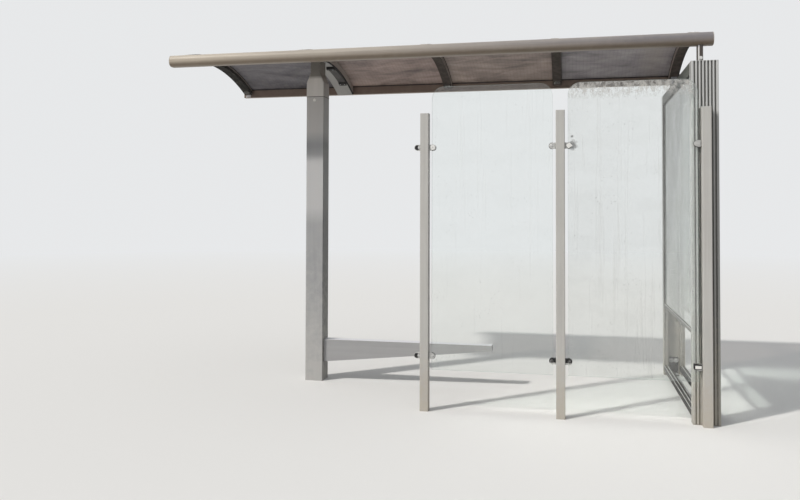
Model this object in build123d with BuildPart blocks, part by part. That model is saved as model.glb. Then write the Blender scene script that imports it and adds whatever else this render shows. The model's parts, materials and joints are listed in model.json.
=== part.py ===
from build123d import *
import os
from math import hypot, sqrt

os.makedirs("parts", exist_ok=True)

# Bus shelter with an arched roof, standing on the plaza side of a road.
# X runs along the shelter, Y from the glass side to the road side, Z up from the paving.

# Overall
roof_length = 4330
shelter_depth = 1864
contact_gap = 0.3

# Roof beams, one rounded hollow section used twice
beam_depth = 86
beam_height = 95
beam_nose_radius = 42
beam_inner_radius = 4
beam_wall = 4
beam_slot_wall = 18
rear_beam_setback = 226
beam_cap_thickness = 4

# Arched roof
roof_rise = 140
sheet_thickness = 8
sheet_drop = 15
sheet_grip = 10
sheet_joint = 10
rib_width = 80
rib_depth = 47
rib_wall = 3
end_rib_inset = 8
bay_count = 4
strip_width = 60
strip_thickness = 4
bracket_width = 50
bracket_reach = 72
bracket_drop = 28
bracket_thickness = 5

# Main post with its tapered head and wide roof arm
post_size = 160
post_wall = 5
post_corner_radius = 8
post_foot_thickness = 12
post_face_from_rear = 826
head_height = 325
head_straight = 124
head_taper = 90
neck_width = 88
head_chamfer = 5
stub_length = 160
stub_wall = 6
arm_depth = 75
arm_wall = 5

# Slim lamp under the arm's right edge, on the road side
lamp_length = 430
lamp_width = 70
lamp_thickness = 14
lamp_from_arm_edge = 6
lamp_from_front_beam = 216
lamp_end_length = 46
lamp_end_thickness = 24

# Low tapered seat beam, held at one end by the main post
seat_beam_length = 1485
seat_beam_width = 100
seat_beam_top = 360
seat_beam_root_depth = 195
seat_beam_tip_depth = 48
seat_beam_wall = 5

# Glass posts and panes
glass_post_size = 65
glass_post_wall = 3
glass_post_corner_radius = 5
glass_post_height = 2229
glass_post_pitch = 1000
glass_post_count = 3
post_cap_thickness = 4
pane_thickness = 10
pane_gap = 22
pane_bottom = 310
pane_above_posts = 201
pane_corner_radius = 95

# Pane clamps
clamp_height = 44
clamp_thickness = 30
clamp_grip = 25
clamp_edge_gap = 2
lower_clamp_above_edge = 100
upper_clamp_below_cap = 258

# Display cabinet frame at the right end
cabinet_width = 185
cabinet_height = 2563
upright_depth = 80
upright_flange = 36
upright_web = 14
upright_wall = 4
ridge_count = 8
ridge_radius = 4
flute_groove_width = 9
flute_groove_depth = 8
upright_cap_thickness = 5
foot_bracket_width = 80
foot_bracket_height = 160
foot_bracket_length = 96
foot_bracket_thickness = 8
top_rail_height = 80
top_rail_wall = 4
bottom_rail_width = 48
bottom_rail_height = 44
bottom_rail_clearance = 43
bottom_rail_wall = 3
rail_groove_width = 12
rail_groove_depth = 3
mid_rail_width = 24
mid_rail_height = 26
mid_rail_top = 652
display_glass_thickness = 5
display_glass_inset = 16
display_glass_grip = 9

# Spigots that carry the roof beams on the cabinet
rear_spigot_height = 149
front_spigot_height = 107
spigot_radius = 23
spigot_from_beam_face = 36
spigot_flange_radius = 38
spigot_flange_thickness = 6

# Places along the shelter
x_left = -roof_length / 2
x_right = roof_length / 2
y_rear = -shelter_depth / 2
y_front = shelter_depth / 2
cabinet_x = x_right - cabinet_width / 2
cabinet_left = x_right - cabinet_width
first_rib_x = x_left + end_rib_inset + rib_width / 2
rib_pitch = (cabinet_x - first_rib_x) / bay_count
rib_xs = [first_rib_x + rib_pitch * number for number in range(bay_count + 1)]
main_post_x = rib_xs[1]
main_post_y = y_rear + post_face_from_rear + post_size / 2
glass_post_xs = [cabinet_x - glass_post_pitch * number for number in reversed(range(glass_post_count))]
glass_y = y_rear + glass_post_size / 2

# Roof beams: the faces that look into the roof, and the tops
rear_beam_face = y_rear + rear_beam_setback + beam_depth
front_beam_face = y_front - beam_depth
rear_beam_top = cabinet_height + rear_spigot_height + beam_height
front_beam_top = cabinet_height + front_spigot_height + beam_height

# Circle of the roof sheets' underside, through both beams
arch_rear_z = rear_beam_top - sheet_drop
arch_front_z = front_beam_top - sheet_drop
arch_span = front_beam_face - rear_beam_face
arch_fall = arch_front_z - arch_rear_z
arch_chord = hypot(arch_span, arch_fall)
arch_radius = (arch_chord**2 / 4 + roof_rise**2) / (2 * roof_rise)
arch_drop = arch_radius - roof_rise
arch_centre_y = (rear_beam_face + front_beam_face) / 2 + arch_drop * arch_fall / arch_chord
arch_centre_z = (arch_rear_z + arch_front_z) / 2 - arch_drop * arch_span / arch_chord


def arch_height(y, offset):
    """Height of the roof arch at a depth, offset outwards from the sheets' underside."""
    return arch_centre_z + sqrt((arch_radius + offset) ** 2 - (y - arch_centre_y) ** 2)


def arch_band(y_start, y_end, lower, upper, mode=Mode.ADD):
    """Side view of an arched piece between two depths and two offsets from the sheets' underside."""
    y_middle = (y_start + y_end) / 2
    rear_low, middle_low, front_low = [(y, arch_height(y, lower)) for y in (y_start, y_middle, y_end)]
    rear_high, middle_high, front_high = [(y, arch_height(y, upper)) for y in (y_start, y_middle, y_end)]
    with BuildLine() as outline:
        ThreePointArc(rear_low, middle_low, front_low)
        Line(front_low, front_high)
        ThreePointArc(front_high, middle_high, rear_high)
        Line(rear_high, rear_low)
    make_face(outline.edges(), mode=mode)


def end_corners(axis, way):
    """Corners of the sketch that lie furthest along an axis, one way or the other."""
    return vertices().group_by(axis)[-1 if way > 0 else 0]


def beam_outline(face_y, top, nose):
    """Rounded outline of a roof beam; nose is the way its round side looks."""
    with Locations((face_y + nose * beam_depth / 2, top - beam_height / 2)):
        Rectangle(beam_depth, beam_height)
    fillet(end_corners(Axis.X, nose), beam_nose_radius)
    fillet(end_corners(Axis.X, -nose), beam_inner_radius)


# Roof beams: hollow, with a slot along the inner face for the sheets' edges
beam_length = roof_length - 2 * beam_cap_thickness
for name, face_y, top, nose in (
    ("rear_roof_beam", rear_beam_face, rear_beam_top, -1),
    ("front_roof_beam", front_beam_face, front_beam_top, 1),
):
    slot_end = face_y + nose * (sheet_grip + contact_gap)
    cavity_face = face_y + nose * beam_slot_wall
    cavity_end = face_y + nose * (beam_depth - beam_wall)
    cavity_middle = (cavity_face + cavity_end) / 2
    with BuildPart() as beam:
        with BuildSketch(Plane.YZ.offset(-beam_length / 2)):
            beam_outline(face_y, top, nose)
            arch_band(
                min(face_y, slot_end), max(face_y, slot_end),
                -contact_gap, sheet_thickness + contact_gap, Mode.SUBTRACT,
            )
        extrude(amount=beam_length)
        with BuildSketch(Plane.YZ.offset(-beam_length / 2)):
            with Locations((cavity_middle, top - beam_height / 2)):
                Rectangle(abs(cavity_end - cavity_face), beam_height - 2 * beam_wall)
            fillet(end_corners(Axis.X, nose), beam_nose_radius - beam_wall)
        extrude(amount=beam_length, mode=Mode.SUBTRACT)
    beam.part.label = name
    export_step(beam.part, f"parts/{name}.step")

    with BuildPart() as caps:
        for cap_x in (x_left, x_right - beam_cap_thickness):
            with BuildSketch(Plane.YZ.offset(cap_x)):
                beam_outline(face_y, top, nose)
            extrude(amount=beam_cap_thickness)
    caps.part.label = name.replace("roof_beam", "beam_caps")
    export_step(caps.part, f"parts/{caps.part.label}.step")

# Roof ribs: curved hollow bars between the beams' inner faces.
# The wide arm takes the place of the second one.
rib_names = ("left_end_rib", None, "left_rib", "right_rib", "right_end_rib")
ribs = [(name, rib_x) for name, rib_x in zip(rib_names, rib_xs) if name]
for name, rib_x in ribs:
    with BuildPart() as rib:
        with BuildSketch(Plane.YZ.offset(rib_x - rib_width / 2)):
            arch_band(rear_beam_face, front_beam_face, -rib_depth, 0)
        extrude(amount=rib_width)
        with BuildSketch(Plane.YZ.offset(rib_x - rib_width / 2 + rib_wall)):
            arch_band(rear_beam_face, front_beam_face, rib_wall - rib_depth, -rib_wall)
        extrude(amount=rib_width - 2 * rib_wall, mode=Mode.SUBTRACT)
    rib.part.label = name
    export_step(rib.part, f"parts/{name}.step")

# Angle brackets under the ribs' ends, against the beams
with BuildPart() as rib_brackets:
    for _, rib_x in ribs:
        for face_y, inward in ((rear_beam_face, 1), (front_beam_face, -1)):
            rib_underside = arch_height(face_y, -rib_depth)
            tip_y = face_y + inward * bracket_reach
            with BuildSketch(Plane.YZ.offset(rib_x - bracket_width / 2)):
                arch_band(
                    min(face_y, tip_y), max(face_y, tip_y),
                    -rib_depth - bracket_thickness, -rib_depth,
                )
                with Locations((face_y + inward * bracket_thickness / 2, rib_underside - bracket_drop / 2)):
                    Rectangle(bracket_thickness, bracket_drop)
            extrude(amount=bracket_width)
rib_brackets.part.label = "rib_brackets"
export_step(rib_brackets.part, "parts/rib_brackets.step")

# Wide roof arm over the main post
with BuildPart() as roof_arm:
    with BuildSketch(Plane.YZ.offset(main_post_x - post_size / 2)):
        arch_band(rear_beam_face, front_beam_face, -arm_depth, 0)
    extrude(amount=post_size)
    with BuildSketch(Plane.YZ.offset(main_post_x - post_size / 2 + arm_wall)):
        arch_band(rear_beam_face, front_beam_face, arm_wall - arm_depth, -arm_wall)
    extrude(amount=post_size - 2 * arm_wall, mode=Mode.SUBTRACT)
roof_arm.part.label = "roof_arm"
export_step(roof_arm.part, "parts/roof_arm.step")

# Lamp: a slim housing between two thicker end blocks, all bent to the arm's underside
lamp_right = main_post_x + post_size / 2 - lamp_from_arm_edge
lamp_end = front_beam_face - lamp_from_front_beam
lamp_start = lamp_end - lamp_length
with BuildPart() as arm_lamp:
    with BuildSketch(Plane.YZ.offset(lamp_right - lamp_width)):
        arch_band(
            lamp_start + lamp_end_length, lamp_end - lamp_end_length,
            -arm_depth - lamp_thickness, -arm_depth,
        )
    extrude(amount=lamp_width)
arm_lamp.part.label = "arm_lamp"
export_step(arm_lamp.part, "parts/arm_lamp.step")

with BuildPart() as arm_lamp_ends:
    with BuildSketch(Plane.YZ.offset(lamp_right - lamp_width)):
        for block_start in (lamp_start, lamp_end - lamp_end_length):
            arch_band(
                block_start, block_start + lamp_end_length,
                -arm_depth - lamp_end_thickness, -arm_depth,
            )
    extrude(amount=lamp_width)
arm_lamp_ends.part.label = "arm_lamp_ends"
export_step(arm_lamp_ends.part, "parts/arm_lamp_ends.step")

# Roof sheets, one to a bay, with their long edges in the beams' slots
sheet_starts = [rib_xs[0] - rib_width / 2] + [rib_x + sheet_joint / 2 for rib_x in rib_xs[1:-1]]
sheet_ends = [rib_x - sheet_joint / 2 for rib_x in rib_xs[1:-1]] + [rib_xs[-1] + rib_width / 2]
for number, (start, end) in enumerate(zip(sheet_starts, sheet_ends), 1):
    with BuildPart() as roof_sheet:
        with BuildSketch(Plane.YZ.offset(start)):
            arch_band(rear_beam_face - sheet_grip, front_beam_face + sheet_grip, 0, sheet_thickness)
        extrude(amount=end - start)
    roof_sheet.part.label = f"roof_sheet_{number}"
    export_step(roof_sheet.part, f"parts/roof_sheet_{number}.step")

# Cover strips over the sheets' joints
with BuildPart() as cover_strips:
    for rib_x in rib_xs:
        with BuildSketch(Plane.YZ.offset(rib_x - strip_width / 2)):
            arch_band(
                rear_beam_face, front_beam_face,
                sheet_thickness, sheet_thickness + strip_thickness,
            )
        extrude(amount=strip_width)
cover_strips.part.label = "roof_cover_strips"
export_step(cover_strips.part, "parts/roof_cover_strips.step")

# Main post: a square tube from the paving to the joint under its head
post_joint_height = arch_height(main_post_y, -arm_depth) - head_height
with BuildPart() as main_post:
    with BuildSketch():
        with Locations((main_post_x, main_post_y)):
            RectangleRounded(post_size, post_size, post_corner_radius)
    extrude(amount=post_joint_height)
    with BuildSketch(Plane.XY.offset(post_foot_thickness)):
        with Locations((main_post_x, main_post_y)):
            Rectangle(post_size - 2 * post_wall, post_size - 2 * post_wall)
    extrude(amount=post_joint_height - post_foot_thickness, mode=Mode.SUBTRACT)
main_post.part.label = "main_post"
export_step(main_post.part, "parts/main_post.step")

# Head: a straight collar whose shoulders draw in to a neck as deep as the post, cut to the arm's
# curved underside, with a stub inside the post
head_taper_start = post_joint_height + head_straight
head_neck_start = head_taper_start + head_taper
neck_end = arch_height(main_post_y, 0)
stub_size = post_size - 2 * post_wall - 2 * contact_gap
with BuildPart() as post_head:
    with BuildSketch(Plane.XZ.offset(-main_post_y - post_size / 2)):
        with BuildLine():
            for side in (-1, 1):
                collar_x = main_post_x + side * post_size / 2
                neck_x = main_post_x + side * neck_width / 2
                Polyline(
                    (main_post_x, post_joint_height), (collar_x, post_joint_height),
                    (collar_x, head_taper_start), (neck_x, head_neck_start),
                    (neck_x, neck_end), (main_post_x, neck_end),
                )
        make_face()
    extrude(amount=post_size)
    outer_faces = faces().filter_by(Axis.Y)
    long_edges = [edge for edge in outer_faces.edges() if edge.tangent_at(0).Z != 0]
    chamfer(long_edges, head_chamfer)
    with BuildSketch(Plane.YZ.offset(main_post_x - post_size / 2)):
        arch_band(main_post_y - post_size / 2, main_post_y + post_size / 2, -arm_depth, arm_depth)
    extrude(amount=post_size, mode=Mode.SUBTRACT)
    with BuildSketch(Plane.XY.offset(post_joint_height)):
        with Locations((main_post_x, main_post_y)):
            Rectangle(stub_size, stub_size)
            Rectangle(stub_size - 2 * stub_wall, stub_size - 2 * stub_wall, mode=Mode.SUBTRACT)
    extrude(amount=-stub_length)
post_head.part.label = "post_head"
export_step(post_head.part, "parts/post_head.step")

# Seat beam: a hollow arm with a level top and a rising underside; its seat boards are missing
seat_beam_root = main_post_x + post_size / 2
seat_beam_tip = seat_beam_root + seat_beam_length
seat_beam_slope = (seat_beam_root_depth - seat_beam_tip_depth) / seat_beam_length


def seat_beam_outline(wall, mode=Mode.ADD):
    """Side view of the seat beam, moved inwards by a wall on every side."""
    root_x = seat_beam_root + wall
    tip_x = seat_beam_tip - wall
    top_z = seat_beam_top - wall
    root_z = seat_beam_top - seat_beam_root_depth + wall * (1 + seat_beam_slope)
    tip_z = seat_beam_top - seat_beam_tip_depth + wall * (1 - seat_beam_slope)
    with BuildLine() as outline:
        Polyline((root_x, root_z), (tip_x, tip_z), (tip_x, top_z), (root_x, top_z), close=True)
    make_face(outline.edges(), mode=mode)


with BuildPart() as seat_beam:
    with BuildSketch(Plane.XZ.offset(-main_post_y - seat_beam_width / 2)):
        seat_beam_outline(0)
    extrude(amount=seat_beam_width)
    with BuildSketch(Plane.XZ.offset(-main_post_y - seat_beam_width / 2 + seat_beam_wall)):
        seat_beam_outline(seat_beam_wall)
    extrude(amount=seat_beam_width - 2 * seat_beam_wall, mode=Mode.SUBTRACT)
seat_beam.part.label = "seat_beam"
export_step(seat_beam.part, "parts/seat_beam.step")

# Glass posts: slim square tubes with flat caps
for number, post_x in enumerate(glass_post_xs, 1):
    with BuildPart() as glass_post:
        with BuildSketch():
            with Locations((post_x, glass_y)):
                RectangleRounded(glass_post_size, glass_post_size, glass_post_corner_radius)
                Rectangle(
                    glass_post_size - 2 * glass_post_wall,
                    glass_post_size - 2 * glass_post_wall,
                    mode=Mode.SUBTRACT,
                )
        extrude(amount=glass_post_height - post_cap_thickness)
    glass_post.part.label = f"glass_post_{number}"
    export_step(glass_post.part, f"parts/glass_post_{number}.step")

with BuildPart() as glass_post_caps:
    with BuildSketch(Plane.XY.offset(glass_post_height - post_cap_thickness)):
        with Locations(*[(post_x, glass_y) for post_x in glass_post_xs]):
            RectangleRounded(glass_post_size, glass_post_size, glass_post_corner_radius)
    extrude(amount=post_cap_thickness)
glass_post_caps.part.label = "glass_post_caps"
export_step(glass_post_caps.part, "parts/glass_post_caps.step")

# Glass panes with rounded top corners, standing free between the posts
pane_reach = glass_post_size / 2 + pane_gap
pane_top = glass_post_height + pane_above_posts
for number, (left_x, right_x) in enumerate(zip(glass_post_xs, glass_post_xs[1:]), 1):
    pane_width = right_x - left_x - 2 * pane_reach
    with BuildPart() as glass_pane:
        with BuildSketch(Plane.XZ.offset(-glass_y - pane_thickness / 2)):
            with Locations(((left_x + right_x) / 2, (pane_bottom + pane_top) / 2)):
                Rectangle(pane_width, pane_top - pane_bottom)
            fillet(end_corners(Axis.Y, 1), pane_corner_radius)
        extrude(amount=pane_thickness)
    glass_pane.part.label = f"glass_pane_{number}"
    export_step(glass_pane.part, f"parts/glass_pane_{number}.step")

# Pane clamps: round-nosed blocks on the posts' sides, slotted for the glass.
# The first post keeps its clamps for the pane that is missing on its left.
clamp_length = pane_gap + clamp_grip
clamp_zs = (pane_bottom + lower_clamp_above_edge, glass_post_height - upper_clamp_below_cap)
clamp_sides = [(-1, 1)] * (glass_post_count - 1) + [(-1,)]
for number, (post_x, sides) in enumerate(zip(glass_post_xs, clamp_sides), 1):
    with BuildPart() as pane_clamps:
        for side in sides:
            root_x = post_x + side * glass_post_size / 2
            round_x = root_x + side * (clamp_length - clamp_height / 2)
            slot_start = root_x + side * (pane_gap - clamp_edge_gap)
            slot_end = root_x + side * clamp_length
            for clamp_z in clamp_zs:
                with BuildSketch(Plane.XZ.offset(-glass_y - clamp_thickness / 2)):
                    with Locations(((root_x + round_x) / 2, clamp_z)):
                        Rectangle(abs(round_x - root_x), clamp_height)
                    with Locations((round_x, clamp_z)):
                        Circle(clamp_height / 2)
                extrude(amount=clamp_thickness)
                with BuildSketch(Plane.XZ.offset(-glass_y - pane_thickness / 2)):
                    with Locations(((slot_start + slot_end) / 2, clamp_z)):
                        Rectangle(abs(slot_end - slot_start), clamp_height)
                extrude(amount=pane_thickness, mode=Mode.SUBTRACT)
    pane_clamps.part.label = f"pane_clamps_{number}"
    export_step(pane_clamps.part, f"parts/pane_clamps_{number}.step")

# Display cabinet uprights: channel extrusions with a fluted outer face, each held by an angle at its foot
rear_upright_face = y_rear + glass_post_size
cabinet_inner_rear = rear_upright_face + upright_depth
cabinet_inner_front = y_front - upright_depth
upright_height = cabinet_height - upright_cap_thickness
channel_width = cabinet_width - 2 * upright_flange
channel_depth = upright_depth - upright_web
chamber_width = upright_flange - 2 * upright_wall
glass_groove_depth = display_glass_grip + contact_gap
glass_groove_width = display_glass_thickness + 2 * contact_gap
chamber_depth = upright_depth - upright_web - 2 * upright_wall - glass_groove_depth
ridge_pitch = cabinet_width / ridge_count
glass_xs = [cabinet_left + display_glass_inset, x_right - display_glass_inset]


def upright_profile(outer_y, inward):
    """Plan of an upright; inward is the way its open side looks."""
    with Locations((cabinet_x, outer_y + inward * upright_depth / 2)):
        Rectangle(cabinet_width, upright_depth)
    flute_xs = [cabinet_left + ridge_pitch * number for number in range(1, ridge_count)]
    with Locations(*[(flute_x, outer_y + inward * flute_groove_depth / 2) for flute_x in flute_xs]):
        Rectangle(flute_groove_width, flute_groove_depth, mode=Mode.SUBTRACT)
    fillet(end_corners(Axis.Y, -inward), ridge_radius)
    with Locations((cabinet_x, outer_y + inward * (upright_web + channel_depth / 2))):
        Rectangle(channel_width, channel_depth, mode=Mode.SUBTRACT)
    flange_shift = (cabinet_width - upright_flange) / 2
    chamber_y = outer_y + inward * (upright_web + chamber_depth / 2)
    with Locations((cabinet_x - flange_shift, chamber_y), (cabinet_x + flange_shift, chamber_y)):
        Rectangle(chamber_width, chamber_depth, mode=Mode.SUBTRACT)
    groove_y = outer_y + inward * (upright_depth - glass_groove_depth / 2)
    with Locations(*[(glass_x, groove_y) for glass_x in glass_xs]):
        Rectangle(glass_groove_width, glass_groove_depth, mode=Mode.SUBTRACT)


for place, outer_y, inward in (("rear", rear_upright_face, 1), ("front", y_front, -1)):
    with BuildPart() as upright:
        with BuildSketch():
            upright_profile(outer_y, inward)
        extrude(amount=upright_height)
    upright.part.label = f"{place}_upright"
    export_step(upright.part, f"parts/{place}_upright.step")

    web_y = outer_y + inward * upright_web
    with BuildPart() as foot_bracket:
        with BuildSketch(Plane.YZ.offset(cabinet_x - foot_bracket_width / 2)):
            with Locations((web_y + inward * foot_bracket_length / 2, foot_bracket_thickness / 2)):
                Rectangle(foot_bracket_length, foot_bracket_thickness)
            with Locations((web_y + inward * foot_bracket_thickness / 2, foot_bracket_height / 2)):
                Rectangle(foot_bracket_thickness, foot_bracket_height)
        extrude(amount=foot_bracket_width)
    foot_bracket.part.label = f"{place}_foot_bracket"
    export_step(foot_bracket.part, f"parts/{place}_foot_bracket.step")

with BuildPart() as upright_caps:
    with BuildSketch(Plane.XY.offset(upright_height)):
        for outer_y, inward in ((rear_upright_face, 1), (y_front, -1)):
            with Locations((cabinet_x, outer_y + inward * upright_depth / 2)):
                RectangleRounded(cabinet_width, upright_depth, ridge_radius)
    extrude(amount=upright_cap_thickness)
upright_caps.part.label = "upright_caps"
export_step(upright_caps.part, "parts/upright_caps.step")

# Top rail: a hollow box as wide as the uprights, grooved below for the display glass
rail_length = cabinet_inner_front - cabinet_inner_rear
rail_plane = Plane.XZ.offset(-cabinet_inner_front)
top_rail_bottom = cabinet_height - top_rail_height
with BuildPart() as top_rail:
    with BuildSketch(rail_plane):
        with Locations((cabinet_x, cabinet_height - top_rail_height / 2)):
            Rectangle(cabinet_width, top_rail_height)
        cavity_bottom = top_rail_bottom + glass_groove_depth + top_rail_wall
        cavity_top = cabinet_height - top_rail_wall
        with Locations((cabinet_x, (cavity_bottom + cavity_top) / 2)):
            Rectangle(cabinet_width - 2 * top_rail_wall, cavity_top - cavity_bottom, mode=Mode.SUBTRACT)
        with Locations(*[(glass_x, top_rail_bottom + glass_groove_depth / 2) for glass_x in glass_xs]):
            Rectangle(glass_groove_width, glass_groove_depth, mode=Mode.SUBTRACT)
    extrude(amount=rail_length)
top_rail.part.label = "cabinet_top_rail"
export_step(top_rail.part, "parts/cabinet_top_rail.step")

# Bottom and middle rails, and the display glass, on the left and right of the cabinet
for name, side, face_x, glass_x in (
    ("left", 1, cabinet_left, glass_xs[0]),
    ("right", -1, x_right, glass_xs[1]),
):
    rail_x = face_x + side * bottom_rail_width / 2
    rail_z = bottom_rail_clearance + bottom_rail_height / 2
    with BuildPart() as bottom_rail:
        with BuildSketch(rail_plane):
            with Locations((rail_x, rail_z)):
                Rectangle(bottom_rail_width, bottom_rail_height)
                Rectangle(
                    bottom_rail_width - 2 * (rail_groove_depth + bottom_rail_wall),
                    bottom_rail_height - 2 * (rail_groove_depth + bottom_rail_wall),
                    mode=Mode.SUBTRACT,
                )
            with Locations((face_x + side * rail_groove_depth / 2, rail_z)):
                Rectangle(rail_groove_depth, rail_groove_width, mode=Mode.SUBTRACT)
            with Locations((rail_x, rail_z + (bottom_rail_height - rail_groove_depth) / 2)):
                Rectangle(rail_groove_width, rail_groove_depth, mode=Mode.SUBTRACT)
        extrude(amount=rail_length)
    bottom_rail.part.label = f"{name}_bottom_rail"
    export_step(bottom_rail.part, f"parts/{name}_bottom_rail.step")

    with BuildPart() as mid_rail:
        with BuildSketch(rail_plane):
            with Locations((glass_x, mid_rail_top - mid_rail_height / 2)):
                Rectangle(mid_rail_width, mid_rail_height)
            with Locations((glass_x, mid_rail_top - glass_groove_depth / 2)):
                Rectangle(glass_groove_width, glass_groove_depth, mode=Mode.SUBTRACT)
        extrude(amount=rail_length)
    mid_rail.part.label = f"{name}_middle_rail"
    export_step(mid_rail.part, f"parts/{name}_middle_rail.step")

    glass_low = mid_rail_top - display_glass_grip
    glass_high = top_rail_bottom + display_glass_grip
    with BuildPart() as display_glass:
        with BuildSketch(Plane.YZ.offset(glass_x - display_glass_thickness / 2)):
            with Locations(((cabinet_inner_rear + cabinet_inner_front) / 2, (glass_low + glass_high) / 2)):
                Rectangle(rail_length + 2 * display_glass_grip, glass_high - glass_low)
        extrude(amount=display_glass_thickness)
    display_glass.part.label = f"{name}_display_glass"
    export_step(display_glass.part, f"parts/{name}_display_glass.step")

# Round spigots that carry the beams on the cabinet
for name, face_y, top, nose in (
    ("rear_spigot", rear_beam_face, rear_beam_top, -1),
    ("front_spigot", front_beam_face, front_beam_top, 1),
):
    spigot_y = face_y + nose * spigot_from_beam_face
    with BuildPart() as spigot:
        with BuildSketch(Plane.XY.offset(cabinet_height)):
            with Locations((cabinet_x, spigot_y)):
                Circle(spigot_radius)
        extrude(amount=top - beam_height - cabinet_height)
        with BuildSketch(Plane.XY.offset(cabinet_height)):
            with Locations((cabinet_x, spigot_y)):
                Circle(spigot_flange_radius)
        extrude(amount=spigot_flange_thickness)
    spigot.part.label = name
    export_step(spigot.part, f"parts/{name}.step")
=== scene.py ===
import json
import math

import bmesh
import bpy
from mathutils import Matrix, Vector


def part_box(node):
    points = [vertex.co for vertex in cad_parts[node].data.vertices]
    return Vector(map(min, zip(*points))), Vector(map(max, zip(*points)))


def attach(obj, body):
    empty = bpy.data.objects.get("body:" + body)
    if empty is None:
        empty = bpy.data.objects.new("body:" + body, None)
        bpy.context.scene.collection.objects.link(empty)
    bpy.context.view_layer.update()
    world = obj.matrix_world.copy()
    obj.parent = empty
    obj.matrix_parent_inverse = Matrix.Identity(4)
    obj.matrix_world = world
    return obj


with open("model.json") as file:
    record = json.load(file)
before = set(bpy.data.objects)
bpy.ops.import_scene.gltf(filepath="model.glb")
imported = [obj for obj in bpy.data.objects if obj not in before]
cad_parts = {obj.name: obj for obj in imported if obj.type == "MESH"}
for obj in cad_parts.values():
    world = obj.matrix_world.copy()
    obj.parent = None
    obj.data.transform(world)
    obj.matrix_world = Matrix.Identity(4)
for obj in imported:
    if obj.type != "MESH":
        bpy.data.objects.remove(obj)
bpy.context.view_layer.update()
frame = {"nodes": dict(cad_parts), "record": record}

scene = bpy.context.scene
cadNodes = frame["nodes"]
print("shelter frame loaded with", len(cadNodes), "nodes")


# Helpers for node trees; those without a tree find it from a socket that they're given
def isSocket(value):
    return isinstance(value, bpy.types.NodeSocket)


def fill(node, values):
    # a socket is linked, anything else is written
    for key, value in values.items():
        if isSocket(value):
            node.id_data.links.new(value, node.inputs[key])
        else:
            node.inputs[key].default_value = value


def put(tree, kind, values=None, **settings):
    node = tree.nodes.new(kind)
    for key, value in settings.items():
        setattr(node, key, value)
    fill(node, values or {})
    return node


def putAfter(values, kind, **settings):
    tree = next(value.id_data for value in values.values() if isSocket(value))
    return put(tree, kind, values, **settings).outputs


def maths(operation, first, second=0.0, clamp=False):
    return putAfter({0: first, 1: second}, "ShaderNodeMath", operation=operation, use_clamp=clamp)[0]


def plus(first, second, clamp=False):
    return maths("ADD", first, second, clamp)


def minus(first, second):
    return maths("SUBTRACT", first, second)


def times(first, second, clamp=False):
    return maths("MULTIPLY", first, second, clamp)


def vectorMaths(operation, first, second, result=0):
    return putAfter({0: first, 1: second}, "ShaderNodeVectorMath", operation=operation)[result]


def dot(first, second):
    return vectorMaths("DOT_PRODUCT", first, second, "Value")


def length(vector):
    return vectorMaths("LENGTH", vector, (0, 0, 0), "Value")


def remap(value, low, high, toLow=0.0, toHigh=1.0):
    inputs = {"Value": value, "From Min": low, "From Max": high, "To Min": toLow, "To Max": toHigh}
    return putAfter(inputs, "ShaderNodeMapRange")[0]


def blendColour(share, under, over):
    under, over = [value if isSocket(value) else (*value, 1) for value in (under, over)]
    return putAfter({0: share, 6: under, 7: over}, "ShaderNodeMix", data_type="RGBA")[2]


def objectPlace(tree):
    return put(tree, "ShaderNodeTexCoord").outputs["Object"]


def scaledPlace(tree, scale=(1, 1, 1), offset=(0, 0, 0)):
    return putAfter({"Vector": objectPlace(tree), "Scale": scale, "Location": offset}, "ShaderNodeMapping")[0]


def axes(vector):
    return putAfter({0: vector}, "ShaderNodeSeparateXYZ")


def alongAxis(tree, axis):
    return axes(objectPlace(tree))[axis]


def facingNormal(tree):
    return put(tree, "ShaderNodeNewGeometry").outputs["Normal"]


def noise(vector, scale, detail=4.0, roughness=0.55, distortion=0.0):
    inputs = {"Vector": vector, "Scale": scale, "Detail": detail,
              "Roughness": roughness, "Distortion": distortion}
    return putAfter(inputs, "ShaderNodeTexNoise")["Fac"]


view = {
    "focal": 34.779,                      # mm
    "sensor": 36,
    "place": (1.1393, -6.6336, 1.4810),
    "yaw": 0.21626,                       # turned to the left
    "pitch": 0.02335,
    "roll": -0.00278,
    "shiftY": -0.0693,
    "farthest": 200,
}
stage = {
    "floorSize": 120.0,
    "floorColour": (0.80, 0.797, 0.79),
    "floorBounce": (0.60, 0.583, 0.565),  # what the floor throws back on the shelter
    "backdrop": (0.80, 0.81, 0.82),
    "fade": (7.0, 24.0),                  # metres over which the floor runs into the backdrop
    "skyColour": (0.96, 0.98, 1.0),
    "skyLight": (0.13, 0.66),             # away from the sun, towards it
    "skySpread": (-0.8, 1.0),
    "sunPower": 2.3,
    "sunAngle": 3.0,
    "sunColour": (1.0, 0.965, 0.91),
    "sunFrom": (-0.75, -0.70, 0.91),
}


def makeCamera():
    cosYaw, sinYaw = math.cos(view["yaw"]), math.sin(view["yaw"])
    cosPitch, sinPitch = math.cos(view["pitch"]), math.sin(view["pitch"])
    right = Vector((cosYaw, sinYaw, 0))
    ahead = Vector((-sinYaw * cosPitch, cosYaw * cosPitch, sinPitch))
    up = right.cross(ahead)
    turn = Matrix.Rotation(view["roll"], 3, ahead)
    right, up = turn @ right, turn @ up
    data = bpy.data.cameras.new("camera")
    data.lens = view["focal"]
    data.sensor_width = view["sensor"]
    data.shift_y = view["shiftY"]
    data.clip_end = view["farthest"]
    camera = bpy.data.objects.new("camera", data)
    turned = Matrix((right, up, -ahead)).transposed().to_4x4()
    camera.matrix_world = Matrix.Translation(view["place"]) @ turned
    scene.collection.objects.link(camera)
    scene.camera = camera


def seenRays(tree):
    path = put(tree, "ShaderNodeLightPath").outputs
    direct = maths("MAXIMUM", path["Is Camera Ray"], path["Is Transmission Ray"])
    return maths("MAXIMUM", direct, path["Is Glossy Ray"])


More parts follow.
